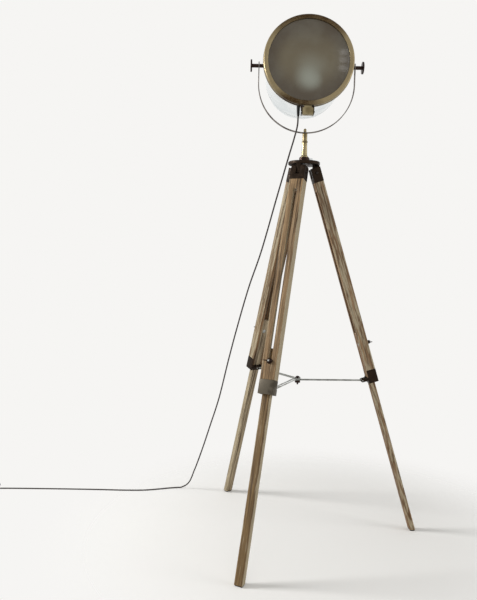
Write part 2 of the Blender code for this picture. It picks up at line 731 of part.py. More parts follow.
def make_wing_nut(spin, name):
    """Hub, flange and two upswept wings on the clamp bolt."""
    hub_profile = [
        (0.0034, 0.0090),
        (0.0050, 0.0090),
        (0.0062, 0.0022),
        (0.0078, 0.0018),
        (0.0078, 0.0),
        (0.0034, 0.0),
    ]
    nut = turned(f"wing_nut_{name}", hub_profile, spin, "black_iron", steps=20, ring=True)
    nut.rotation_euler = (0, math.pi / 2, 0)
    for sign, side in ((-1, "a"), (1, "b")):
        near, far = sorted((sign * 0.0046, sign * 0.0150))
        wing = box(f"wing_{side}_{name}", (0.0035, near, -0.0013), (0.0115, far, 0.0013), spin)
        for vertex in wing.data.vertices:
            if abs(vertex.co.y) > 0.010:
                vertex.co.x += 0.0050
        join(nut, wing)


def make_foot_pad(axis, index, name):
    """Rubber pad under the sole, flat on the floor."""
    inner = leg_point(LOWER_INNER, along_at_height(LOWER_INNER, SOLE_HEIGHT))[0]
    outer = leg_point(LOWER_OUTER, along_at_height(LOWER_OUTER, SOLE_HEIGHT))[0]
    edge = 0.0015
    low = (inner + edge, -LOWER_WIDTH / 2 + edge, 0.0)
    high = (outer - edge, LOWER_WIDTH / 2 - edge, PAD_THICKNESS)
    box(f"foot_pad_{name}", low, high, axis, "black_rubber", rotation=(0, 0, leg_angle(index)))


def make_leg(axis, index, name):
    """One whole leg: cap, upper leg, bracket, runner, wing nut, foot pad and its spreader bar."""
    angle = leg_angle(index)
    turn = Matrix.Rotation(angle, 3, "Z")
    hinge = turn @ Vector((HINGE_RADIUS, 0, HINGE_HEIGHT))
    fold = empty(f"fold_axis_{name}", axis, hinge, (0, -LEG_SPLAY, angle))
    make_leg_cap(fold, name)
    make_upper_leg(fold, name)
    make_bracket(fold, index, name)
    slide = empty(f"slide_axis_{name}", fold)
    make_lower_leg(slide, name)
    spin = empty(f"wing_axis_{name}", fold, (UPPER_DEPTH / 2 + GAP, 0, -clamp_at(name)))
    make_wing_nut(spin, name)
    make_foot_pad(axis, index, name)
    radius, height = leg_point(-LUG_REACH, lug_along(index))
    stay = empty(f"stay_axis_{name}", axis, turn @ Vector((radius, 0, height)), (0, 0, angle))
    make_stay(stay, radius, name)


# ---------------------------------------------------------------- spreader
def make_stay(pivot, radius, name):
    """Flat bar with a rolled eye on the lug's pin and a long slot that slides on the centre bolt."""
    half_w, half_t = STAY_WIDTH / 2, STAY_THICKNESS / 2
    inner = -radius - 0.009
    bar = box(f"stay_{name}", (inner, -half_w, -half_t), (-0.001, half_w, half_t), pivot, "steel")
    join(bar, rod(f"eye_{name}", (0, -half_w + 0.0001, 0), (0, half_w - 0.0001, 0), EYE_RADIUS, pivot))
    cut(bar, rod(f"eye_bore_{name}", (0, -0.02, 0), (0, 0.02, 0), PIN_BORE, pivot, segments=16))
    slot = 0.0034
    cut(bar, box(f"stay_slot_{name}", (-radius, -slot, -0.01), (-radius + STAY_TRAVEL, slot, 0.01), pivot))
    for end, place_x in (("inner", -radius), ("outer", -radius + STAY_TRAVEL)):
        cut(bar, rod(f"slot_{end}_{name}", (place_x, 0, -0.01), (place_x, 0, 0.01), slot, pivot))


def make_spreader(axis):
    """The bolt through the three bars' slots, and the round knob under them."""
    stack = STAY_STEP + STAY_THICKNESS / 2
    top = stack + GAP
    bolt = [
        (0.0, top + 0.0045),
        *arc((0.0, top - 0.0035), 0.0080, 72, 26, 4),
        (0.0074, top),
        (0.0025, top),
        (0.0025, -0.0170),
        (0.0, -0.0170),
    ]
    turned("spreader_bolt", bolt, axis, "black_iron", location=(0, 0, STAY_LEVEL), steps=24)
    low = -stack - GAP
    knob = [
        (0.0028, low),
        (0.0070, low),
        (0.0080, low - 0.0010),
        (0.0080, low - 0.0060),
        (0.0070, low - 0.0070),
        (0.0028, low - 0.0070),
    ]
    turned("spreader_knob", knob, axis, "black_iron", location=(0, 0, STAY_LEVEL), steps=24, ring=True)


# ---------------------------------------------------------------- cord
def smooth_route(points, spacing):
    """Evenly spaced points on a centripetal spline through the route's own points."""
    points = [Vector(point) for point in points]
    first = points[0] * 2 - points[1]
    last = points[-1] * 2 - points[-2]
    knots = [first, *points, last]
    dense = [points[0]]
    for a, b, c, d in zip(knots, knots[1:], knots[2:], knots[3:]):
        ta = 0.0
        tb = ta + math.sqrt((b - a).length)
        tc = tb + math.sqrt((c - b).length)
        td = tc + math.sqrt((d - c).length)
        for i in range(1, 41):
            t = tb + (tc - tb) * i / 40
            ab = a * (tb - t) / (tb - ta) + b * (t - ta) / (tb - ta)
            bc = b * (tc - t) / (tc - tb) + c * (t - tb) / (tc - tb)
            cd = c * (td - t) / (td - tc) + d * (t - tc) / (td - tc)
            abc = ab * (tc - t) / (tc - ta) + bc * (t - ta) / (tc - ta)
            bcd = bc * (td - t) / (td - tb) + cd * (t - tb) / (td - tb)
            dense.append(abc * (tc - t) / (tc - tb) + bcd * (t - tb) / (tc - tb))
    total = sum((b - a).length for a, b in zip(dense, dense[1:]))
    count = max(2, round(total / spacing))
    step = total / count
    kept, walked = [dense[0]], 0.0
    for a, b in zip(dense, dense[1:]):
        length = (b - a).length
        while walked + length >= step * len(kept) - 1e-9 and len(kept) < count:
            kept.append(a + (b - a) * ((step * len(kept) - walked) / length))
        walked += length
    return [*kept, dense[-1]]


def head_point(across, up, forward):
    """A point of the tilted head, measured from the tripod's axis at floor level."""
    back = up * math.sin(HEAD_TILT) - forward * math.cos(HEAD_TILT)
    height = up * math.cos(HEAD_TILT) + forward * math.sin(HEAD_TILT)
    return across, back, TILT_HEIGHT + height


def cord_route(offset_x, offset_y):
    """From the gland down to the floor and along it to the coil, in the order the cord runs."""
    floor = CORD_DIAMETER / 2 + 0.0001
    leave_x, leave_y, leave_z = head_point(GLAND_X, GLAND_END - GAP, GLAND_FORWARD)
    gland_end = (offset_x + leave_x, offset_y + leave_y, leave_z)
    coil_touch = (COIL_CENTRE[0] + COIL_TURN_RADIUS, COIL_CENTRE[1] - 0.020, floor)
    return [gland_end, *CORD_POINTS, coil_touch]


def cord_tube(name, points):
    """A plain tube along the points, in the model's own coordinates."""
    data = bpy.data.curves.new(name, "CURVE")
    data.dimensions = "3D"
    data.bevel_depth = CORD_DIAMETER / 2
    data.bevel_resolution = 2
    data.use_fill_caps = True
    spline = data.splines.new("POLY")
    spline.points.add(len(points) - 1)
    for knot, point in zip(spline.points, points):
        knot.co = (*point, 1.0)
    data.materials.append(finish_material(name, "cloth_cord"))
    PARTS.objects.link(bpy.data.objects.new(name, data))


def make_cord(offset_x, offset_y):
    """The hanging run, the run on the floor and the coil, in the order the cord has them."""
    points = smooth_route(cord_route(offset_x, offset_y), 0.030)
    for point in points:
        point.z = max(point.z, CORD_DIAMETER / 2 + 0.0001)
    touch = next(i for i, point in enumerate(points) if point.z < CORD_LANDS)
    cord_tube("cord_run", points[: touch + 1])
    onward = (points[touch + 1] - points[touch]).normalized()
    start = points[touch] + onward * CORD_SPLIT
    cord_tube("cord_floor", [start, *points[touch + 1 :]])
    inner = COIL_TURN_RADIUS - COIL_WIDTH / 2
    outer = COIL_TURN_RADIUS + COIL_WIDTH / 2
    low, high = 0.0001, 0.0001 + 2 * CORD_DIAMETER
    edge = 0.0015
    ring = [
        (inner + edge, high),
        (outer - edge, high),
        (outer, high - edge),
        (outer, low + edge),
        (outer - edge, low),
        (inner + edge, low),
        (inner, low + edge),
        (inner, high - edge),
    ]
    turned("cord_coil", ring, None, "cloth_cord", location=(*COIL_CENTRE, 0.0), steps=32, ring=True)


def make_plug():
    """Two-pin plug lying flat beside the coil; the cord enters its back."""
    x, y = PLUG_CENTRE
    half_height = 0.0085
    body = box("plug_body", (-0.018, -0.011, 0.0001), (0.018, 0.011, 2 * half_height), None, "black_rubber")
    body.location = (x, y, 0.0)
    bevel = body.modifiers.new("soft_edges", "BEVEL")
    bevel.width = 0.003
    bevel.segments = 2
    middle = half_height
    bridge_low, bridge_high = (-0.0213, -0.0085, middle - 0.004), (-0.0183, 0.0085, middle + 0.004)
    pins = box("plug_pins", bridge_low, bridge_high, None, "antique_brass")
    pins.location = (x, y, 0.0)
    for sign, side in ((-1, "a"), (1, "b")):
        blade = box(f"blade_{side}", (-0.037, -0.0008, middle - 0.0032), (-0.0205, 0.0008, middle + 0.0032))
        blade.location = (x, y + sign * 0.0064, 0.0)
        join(pins, blade)


# ---------------------------------------------------------------- assembly
def main():
    """Build every part on the tripod's axis, then the cord on the floor beside it."""
    middle_x, middle_y = footprint_middle()
    axis = empty("tripod_axis", location=(-middle_x, -middle_y, 0))
    make_crown(axis)
    for index, name in enumerate(LEG_NAMES):
        make_leg(axis, index, name)
    make_spreader(axis)
    pan = empty("pan_axis", axis, (0, 0, CROWN_TOP))
    make_post(pan)
    make_yoke(pan)
    head = empty("tilt_axis", axis, (0, 0, TILT_HEIGHT), (math.pi / 2 - HEAD_TILT, 0, 0))
    make_housing(head)
    make_lamp(head)
    make_head_fittings(head)
    for sign, name in ((-1, "left"), (1, "right")):
        make_tilt_knob(head, sign, name)
    bezel = empty("bezel_axis", head, (0, -KNUCKLE_DROP, KNUCKLE_FORWARD))
    make_bezel(bezel)
    make_cord(-middle_x, -middle_y)
    make_plug()


for old in list(bpy.data.objects):
    bpy.data.objects.remove(old)
PARTS = collection("tripod_floor_lamp")
CUTTERS = collection("cutters")
main()
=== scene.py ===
"""A floor lamp: a drum spotlight in a U yoke on a folding, telescopic hardwood tripod.

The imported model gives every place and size. This script gives each piece its fine surface and its
finish, lays the flex, and sets the piece in a pale studio.
"""

import json
import logging
import math
from collections.abc import Iterable, Sequence
from dataclasses import dataclass
from enum import Enum

import bmesh
import bpy
from mathutils import Matrix, Vector


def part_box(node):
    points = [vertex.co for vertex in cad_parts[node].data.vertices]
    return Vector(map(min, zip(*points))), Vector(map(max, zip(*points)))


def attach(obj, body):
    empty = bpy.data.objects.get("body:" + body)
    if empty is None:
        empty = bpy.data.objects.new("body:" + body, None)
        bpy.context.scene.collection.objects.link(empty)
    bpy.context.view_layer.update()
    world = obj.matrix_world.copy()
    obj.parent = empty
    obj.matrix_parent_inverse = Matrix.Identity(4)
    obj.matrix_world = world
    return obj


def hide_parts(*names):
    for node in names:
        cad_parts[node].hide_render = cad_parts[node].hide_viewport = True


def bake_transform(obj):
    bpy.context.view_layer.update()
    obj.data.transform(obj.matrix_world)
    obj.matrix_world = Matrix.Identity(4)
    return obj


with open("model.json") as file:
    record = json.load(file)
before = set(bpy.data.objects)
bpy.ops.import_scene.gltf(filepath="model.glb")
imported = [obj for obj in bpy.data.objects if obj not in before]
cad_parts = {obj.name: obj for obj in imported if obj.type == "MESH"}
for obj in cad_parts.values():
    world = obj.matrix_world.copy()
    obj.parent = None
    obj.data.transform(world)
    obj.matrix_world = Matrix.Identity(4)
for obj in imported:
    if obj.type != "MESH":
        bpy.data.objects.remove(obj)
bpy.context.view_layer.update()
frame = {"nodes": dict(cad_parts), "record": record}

Tree = bpy.types.NodeTree
Socket = bpy.types.NodeSocket
Node = bpy.types.Node
Piece = bpy.types.Object

logging.basicConfig(level=logging.INFO, format="%(message)s")
LOG = logging.getLogger("tripod_floor_lamp")

JOINTS = {joint["name"]: joint for joint in frame["record"]["behaviour"]["joints"]}
GAP = 0.0003


# ---------------------------------------------------------------- small tools
def mm(length: float) -> float:
    """Millimetres as metres."""
    return length / 1000


def per_mm(length: float) -> float:
    """The texture scale, per metre, of a feature this many millimetres across."""
    return 1000 / length


def linear(colour: str) -> tuple[float, float, float, float]:
    """An sRGB hex colour as linear RGBA.

    Args:
        colour: six hex digits after a hash sign.

    Returns:
        Red, green, blue and an alpha of one.
    """
    parts = [int(colour[i : i + 2], 16) / 255 for i in (1, 3, 5)]
    curve = [c / 12.92 if c <= 0.04045 else ((c + 0.055) / 1.055) ** 2.4 for c in parts]
    return curve[0], curve[1], curve[2], 1.0


def joint_place(name: str) -> Vector:
    """Where a joint's axis lies at rest."""
    return Vector(JOINTS[name]["pos_m"])


def axes_at(origin: Vector, x: Vector, y: Vector, z: Vector) -> Matrix:
    """A piece's own axes as a matrix.

    Args:
        origin: the piece's own zero.
        x: its first axis.
        y: its second axis.
        z: its third axis.

    Returns:
        The matrix that takes the piece's own coordinates to the model's.
    """
    return Matrix.Translation(origin) @ Matrix((x, y, z)).transposed().to_4x4()


def arc(middle: tuple[float, float], radius: float, start: float, end: float, count: int) -> list:
    """Points on an arc, with both ends.

    Args:
        middle: the arc's centre.
        radius: its radius.
        start: the first angle in degrees.
        end: the last angle in degrees.
        count: how many points.

    Returns:
        The points as pairs.
    """
    angles = [math.radians(start + (end - start) * i / (count - 1)) for i in range(count)]
    return [(middle[0] + radius * math.cos(a), middle[1] + radius * math.sin(a)) for a in angles]


def soften(outline: Sequence, radius: float, steps: int = 3) -> list:
    """Rounds the corners of an open outline, keeping its two ends.

    Args:
        outline: pairs of coordinates.
        radius: how far along each side the rounding reaches at most.
        steps: how many pieces each rounding has.

    Returns:
        The rounded outline.
    """
    points = [Vector(point) for point in outline]
    rounded = [points[0]]
    for before, corner, after in zip(points, points[1:], points[2:]):
        reach_in = min(radius, (corner - before).length * 0.45)
        reach_out = min(radius, (after - corner).length * 0.45)
        first = corner + (before - corner).normalized() * reach_in
        last = corner + (after - corner).normalized() * reach_out
        for i in range(steps + 1):
            t = i / steps
            rounded.append(first * (1 - t) ** 2 + corner * 2 * t * (1 - t) + last * t * t)
    rounded.append(points[-1])
    return [tuple(point) for point in rounded]


def new_piece(name: str, bm: bmesh.types.BMesh, local: Matrix, crease: float = 35) -> Piece:
    """Makes an object of a finished mesh, shaded smooth except at its sharp edges.

    Args:
        name: the piece's name.
        bm: its mesh, in its own coordinates; it is freed here.
        local: where its own coordinates lie.
        crease: edges sharper than this many degrees stay sharp.

    Returns:
        The new object.
    """
    bmesh.ops.recalc_face_normals(bm, faces=bm.faces)
    mesh = bpy.data.meshes.new(name)
    bm.to_mesh(mesh)
    bm.free()
    mesh.shade_smooth()
    mesh.set_sharp_from_angle(angle=math.radians(crease))
    piece = bpy.data.objects.new(name, mesh)
    piece.matrix_world = local
    bpy.context.scene.collection.objects.link(piece)
    return piece


def bake_modifiers(piece: Piece, crease: float = 35) -> None:
    """Makes a piece's modifiers part of its mesh.

    Args:
        piece: the object with modifiers.
        crease: edges sharper than this many degrees stay sharp.
    """
    graph = bpy.context.evaluated_depsgraph_get()
    mesh = bpy.data.meshes.new_from_object(piece.evaluated_get(graph))
    piece.modifiers.clear()
    piece.data = mesh
    mesh.shade_smooth()
    mesh.set_sharp_from_angle(angle=math.radians(crease))


@dataclass(frozen=True)
class Knurl:
    """Pressed or cut ridges round a turned piece.

    Attributes:
        count: ridges in a whole turn.
        depth: how deep they are cut.
        low: where they start along the axis.
        high: where they end.
    """

    count: int
    depth: float
    low: float
    high: float

    def cut(self, radius: float, along: float, angle: float) -> float:
        """The radius after the ridges are cut.

        Args:
            radius: the plain radius.
            along: the place along the axis.
            angle: the angle round it.

        Returns:
            The radius there.
        """
        if not self.low <= along <= self.high:
            return radius
        return radius - self.depth * (0.5 + 0.5 * math.cos(self.count * angle))


def turn(
    name: str,
    outline: Sequence,
    local: Matrix,
    steps: int = 96,
    closed: bool = False,
    knurls: Iterable[Knurl] = (),
) -> Piece:
    """A turned piece round its own z axis.

    Args:
        name: the piece's name.
        outline: pairs of radius and height.
        local: where the piece's own coordinates lie.
        steps: how many flats make the round.
        closed: whether the outline's last point joins its first, as on a ring.
        knurls: ridges cut into it.

    Returns:
        The new object.
    """
    bm = bmesh.new()
    rings = []
    for radius, along in outline:
        if radius < 1e-7:
            rings.append([bm.verts.new((0, 0, along))] * steps)
            continue
        ring = []
        for i in range(steps):
            angle = math.tau * i / steps
            here = radius
            for knurl in knurls:
                here = knurl.cut(here, along, angle)
            ring.append(bm.verts.new((here * math.cos(angle), here * math.sin(angle), along)))
        rings.append(ring)
    pairs = list(zip(rings, rings[1:]))
    if closed:
        pairs.append((rings[-1], rings[0]))
    for low, high in pairs:
        for i in range(steps):
            j = (i + 1) % steps
            corners = list(dict.fromkeys((low[i], low[j], high[j], high[i])))
            if len(corners) > 2:
                bm.faces.new(corners)
    return new_piece(name, bm, local)


def loft(name: str, rings: Sequence[Sequence[Vector]], local: Matrix, crease: float = 35) -> Piece:
    """A closed skin over a row of rings with equal counts of points.

    Args:
        name: the piece's name.
        rings: each ring's points, in order.
        local: where the piece's own coordinates lie.
        crease: edges sharper than this many degrees stay sharp.

    Returns:
        The new object.
    """
    bm = bmesh.new()
    made = [[bm.verts.new(point) for point in ring] for ring in rings]
    count = len(made[0])
    for low, high in zip(made, made[1:]):
        for i in range(count):
            j = (i + 1) % count
            bm.faces.new((low[i], low[j], high[j], high[i]))
    bm.faces.new(made[0])
    bm.faces.new(list(reversed(made[-1])))
    return new_piece(name, bm, local, crease)


def refined(node: str, name: str, local: Matrix, edge: float, segments: int = 2) -> Piece:
    """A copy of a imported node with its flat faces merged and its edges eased.

    Args:
        node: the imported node.
        name: the new piece's name.
        local: the axes that its own coordinates follow, such as a board's grain.
        edge: how wide the eased edges are.
        segments: how many flats each eased edge has.

    Returns:
        The new object, in the node's place.
    """
    bm = bmesh.new()
    bm.from_mesh(frame["nodes"][node].data)
    bmesh.ops.transform(bm, matrix=local.inverted(), verts=bm.verts)
    bmesh.ops.remove_doubles(bm, verts=bm.verts, dist=mm(0.01))
    flat = math.radians(1.5)
    bmesh.ops.dissolve_limit(bm, angle_limit=flat, verts=bm.verts, edges=bm.edges)
    piece = new_piece(name, bm, local)
    ease = piece.modifiers.new("eased_edges", "BEVEL")
    ease.width = edge
    ease.segments = segments
    ease.limit_method = "ANGLE"
    ease.angle_limit = math.radians(40)
    ease.use_clamp_overlap = True
    ease.miter_outer = "MITER_ARC"
    bake_modifiers(piece, crease=50)
    return piece


def joined(target: Piece, others: Iterable[Piece]) -> Piece:
    """Makes several closed shapes one body.

    Args:
        target: the piece that is kept.
        others: the shapes that it takes in; they are removed.

    Returns:
        The target.
    """
    for other in others:
        union = target.modifiers.new("union", "BOOLEAN")
        union.operation = "UNION"
        union.object = other
        bake_modifiers(target)
        bpy.data.objects.remove(other)
    return target


# ---------------------------------------------------------------- finishes
def add(tree: Tree, kind: str, sockets: dict | None = None, **settings: object) -> Node:
    """Adds a node, sets it up and links it.

    Args:
        tree: the node tree.
        kind: the node's type, without the ShaderNode prefix.
        sockets: input name or number to a constant or to another node's output.
        settings: the node's own properties.

    Returns:
        The new node.
    """
    node = tree.nodes.new("ShaderNode" + kind)
    for key, value in settings.items():
        setattr(node, key, value)
    for key, value in (sockets or {}).items():
        if isinstance(value, Socket):
            tree.links.new(value, node.inputs[key])
        else:
            node.inputs[key].default_value = value
    return node


def blend_colours(tree: Tree, factor: object, first: object, second: object) -> Socket:
    """Mixes two colours.

    Args:
        tree: the node tree.
        factor: a number or an output.
        first: the colour at zero, as an output or linear values.
        second: the colour at one.

    Returns:
        The mixed colour's output.
    """
    return add(tree, "Mix", {0: factor, 6: first, 7: second}, data_type="RGBA").outputs[2]


def speckle(tree: Tree, scale: Sequence[float], detail: float = 3, seed: float = 0) -> Socket:
    """Cloudy noise in the piece's own coordinates.

    Args:
        tree: the node tree.
        scale: repeats per metre along the piece's x, y and z.
        detail: how many finer layers it has.
        seed: moves the pattern, so that like pieces differ.

    Returns:
        The noise value's output.
    """
    place = add(tree, "TexCoord").outputs["Object"]
    moved = add(
        tree, "Mapping", {"Vector": place, "Scale": scale, "Location": (seed, seed * 0.7, seed * 1.3)}
    )
    return add(tree, "TexNoise", {"Vector": moved.outputs[0], "Scale": 1.0, "Detail": detail}).outputs[0]


def stretch(
    tree: Tree, value: object, low: float, high: float, to_low: float = 0, to_high: float = 1
) -> Socket:
    """Maps a range of values to another, smoothly and clamped.

    Args:
        tree: the node tree.
        value: the output that is mapped.
        low: the value that gives to_low.
        high: the value that gives to_high.
        to_low: the first result.
        to_high: the last result.

    Returns:
        The mapped value's output.
    """
    sockets = {0: value, 1: low, 2: high, 3: to_low, 4: to_high}
    return add(tree, "MapRange", sockets, interpolation_type="SMOOTHSTEP").outputs[0]


def own_part(tree: Tree, output: str, axis: int) -> Socket:
    """One absolute component of the piece's own position or normal.

    Args:
        tree: the node tree.
        output: Object for the position or Normal for the normal.
        axis: 0, 1 or 2.

    Returns:
        The component's absolute value.
    """
    split = add(tree, "SeparateXYZ", {0: add(tree, "TexCoord").outputs[output]})
    return add(tree, "Math", {0: split.outputs[axis]}, operation="ABSOLUTE").outputs[0]


@dataclass(frozen=True)
class Finish:
    """A material and how its surface was made.

    Attributes:
        name: the Blender material's name.
        slot: the record's material slot that it stands for.
    """

    name: str
    slot: str

    def material(self) -> bpy.types.Material:
        """The finish as a material, made once."""
        found = bpy.data.materials.get(self.name)
        if found:
            return found
        made = bpy.data.materials.new(self.name)
        made.use_nodes = True
        self.shade(made.node_tree, made.node_tree.nodes["Principled BSDF"])
        return made

    def shade(self, tree: Tree, shader: Node) -> None:
        """Fills the node tree; each finish has its own."""
        raise NotImplementedError

    @staticmethod
    def bump(tree: Tree, shader: Node, height: Socket, depth: float) -> None:
        """Puts a height pattern on the surface.

        Args:
            tree: the node tree.
            shader: the Principled BSDF.
            height: the pattern's output.
            depth: how deep it is, in metres.
        """
        relief = add(tree, "Bump", {"Height": height, "Distance": depth, "Strength": 1.0})
        tree.links.new(relief.outputs[0], shader.inputs["Normal"])


@dataclass(frozen=True)
class WeatheredHardwood(Finish):
    """Sawn hardwood, stained brown and weathered: grey-limed streaks along the grain, worn arrises.

    Attributes:
        ground: the brown of the face boards.
        dark: the grain lines and the pores.
        limed: the pale grey that sits in the grain and on the sides.
        half_width: half the board's width, where the arris is worn.
        side: how much paler the sides are painted, from 0 to 1: partly weathered grey, partly painted light.
        worn: how much grey sits on the faces, from 0 to 1.
        seed: makes each board's figure its own.
    """

    ground: str
    dark: str
    limed: str
    half_width: float
    side: float
    worn: float
    seed: float

    def shade(self, tree: Tree, shader: Node) -> None:
        """Grain lines run along z, which is the board's length."""
        figure_mm, line_mm, pore_mm = 14.0, 4.2, 1.3
        figure = speckle(tree, (per_mm(figure_mm), per_mm(figure_mm), per_mm(210)), 4, self.seed)
        lines = speckle(tree, (per_mm(line_mm), per_mm(line_mm), per_mm(120)), 6, self.seed + 9)
        pores = speckle(tree, (per_mm(pore_mm), per_mm(pore_mm), per_mm(22)), 2, self.seed + 17)
        lime = speckle(tree, (per_mm(5), per_mm(5), per_mm(52)), 5, self.seed + 31)
        stain = speckle(tree, (per_mm(90), per_mm(90), per_mm(240)), 2, self.seed + 43)
        colour = blend_colours(tree, stretch(tree, lines, 0.36, 0.66), linear(self.dark), linear(self.ground))
        deeper = blend_colours(tree, 0.55, linear(self.dark), linear(self.ground))
        colour = blend_colours(tree, stretch(tree, figure, 0.62, 0.34, 0.0, 0.75), colour, deeper)
        greyed = stretch(tree, lime, 0.60 - 0.16 * self.worn, 0.82 - 0.16 * self.worn, 0.0, 0.6)
        colour = blend_colours(tree, greyed, colour, linear(self.limed))
        # The sides are painted paler by their normal: partly weathered grey, partly painted light.
        sides = stretch(tree, own_part(tree, "Normal", 1), 0.55, 0.9, 0.0, self.side)
        colour = blend_colours(tree, sides, colour, linear(self.limed))
        arris = stretch(tree, own_part(tree, "Object", 1), self.half_width - mm(2.2), self.half_width)
        worn_arris = add(tree, "Math", {0: arris, 1: stretch(tree, lime, 0.42, 0.6)}, operation="MULTIPLY")
        colour = blend_colours(tree, worn_arris.outputs[0], colour, linear(self.limed))
        colour = blend_colours(tree, stretch(tree, stain, 0.55, 0.72, 0.0, 0.45), colour, linear(self.dark))
        colour = blend_colours(tree, stretch(tree, pores, 0.40, 0.30, 0.0, 0.5), colour, linear(self.dark))
        end_grain = stretch(tree, own_part(tree, "Normal", 2), 0.7, 0.95, 0.0, 0.7)
        colour = blend_colours(tree, end_grain, colour, linear("#b5a68d"))
        tree.links.new(colour, shader.inputs["Base Color"])
        tree.links.new(stretch(tree, lines, 0.3, 0.7, 0.82, 0.62), shader.inputs["Roughness"])
        shader.inputs["Specular IOR Level"].default_value = 0.35
        height = add(tree, "Math", {0: lines, 1: pores}, operation="ADD")
        self.bump(tree, shader, height.outputs[0], mm(0.55))


@dataclass(frozen=True)
class BareMetal(Finish):
    """A metal with a brushed or turned surface and a patina that gathers in patches.

    Attributes:
        bright: the clean metal.
        patina: the tarnished metal.
        roughness: the clean metal's roughness.
        patina_share: how much of the surface is tarnished, from 0 to 1.
        metallic: 1 for metal, less where wax or dirt dulls it.
        grain: scratches per metre along x, y and z, which gives the brushing its direction.
        relief: how deep the marks are, in metres.
        patch_mm: how wide the patches are.
    """

    bright: str
    patina: str
    roughness: float
    patina_share: float = 0.3
    metallic: float = 1.0
    grain: tuple[float, float, float] = (per_mm(1.2), per_mm(1.2), per_mm(14))
    relief: float = mm(0.02)
    patch_mm: float = 22.0

    def shade(self, tree: Tree, shader: Node) -> None:
        """Patches set the tone and the roughness; scratches set the bump."""
        patch = per_mm(self.patch_mm)
        patches = speckle(tree, (patch, patch, patch), 5, 3)
        scratches = speckle(tree, self.grain, 3, 11)
        edge = 0.78 - 0.5 * self.patina_share
        aged = stretch(tree, patches, edge - 0.22, edge + 0.1)
        colour = blend_colours(tree, aged, linear(self.bright), linear(self.patina))
        tree.links.new(colour, shader.inputs["Base Color"])
        uneven = add(tree, "Math", {0: aged, 1: scratches}, operation="ADD").outputs[0]
        rough = stretch(tree, uneven, 0.2, 1.5, self.roughness * 0.8, min(1, self.roughness * 1.7))
        tree.links.new(rough, shader.inputs["Roughness"])
        shader.inputs["Metallic"].default_value = self.metallic
        self.bump(tree, shader, scratches, self.relief)


@dataclass(frozen=True)
class BrassPaintedReflection(Finish):
    """Spun brass, satin: honey-coloured at the sides, with a painted dark reflection over the top and the
    lower left.

    Attributes:
        honey: the wiped brass.
        brown: the dark of the painted reflection.
        reach: the ring's radius, which sets how the painted dark reflection spreads.
    """

    honey: str
    brown: str
    reach: float

    def shade(self, tree: Tree, shader: Node) -> None:
        """The painted dark reflection lies over the top and the lower left, and wanders with soft patches."""
        place = add(tree, "SeparateXYZ", {0: add(tree, "TexCoord").outputs["Object"]})
        patches = speckle(tree, (per_mm(60), per_mm(60), per_mm(60)), 3, 5)
        streaks = speckle(tree, (per_mm(3), per_mm(3), per_mm(3)), 3, 8)
        # Painted reflection: the top and the lower left of the ring are darkened towards the brown colour.
        top = stretch(tree, place.outputs[1], self.reach * 0.35, self.reach * 0.98)
        low = stretch(tree, place.outputs[1], -self.reach * 0.62, -self.reach * 0.94, 0.0, 0.95)
        left = stretch(tree, place.outputs[0], self.reach * 0.45, -self.reach * 0.05)
        low_left = add(tree, "Math", {0: low, 1: left}, operation="MULTIPLY").outputs[0]
        painted_dark_zone = add(tree, "Math", {0: top, 1: low_left}, operation="MAXIMUM").outputs[0]
        wander = stretch(tree, patches, 0.35, 0.7, -0.12, 0.22)
        share = add(tree, "Math", {0: painted_dark_zone, 1: wander}, operation="ADD", use_clamp=True).outputs[0]
        share = add(
            tree, "Math", {0: share, 1: stretch(tree, streaks, 0.3, 0.7, 0.8, 1.1)}, operation="MULTIPLY",
            use_clamp=True
        )
        colour = blend_colours(tree, share.outputs[0], linear(self.honey), linear(self.brown))
        tree.links.new(colour, shader.inputs["Base Color"])
        tree.links.new(stretch(tree, streaks, 0.3, 0.7, 0.30, 0.42), shader.inputs["Roughness"])
        shader.inputs["Metallic"].default_value = 0.85
        self.bump(tree, shader, streaks, mm(0.005))


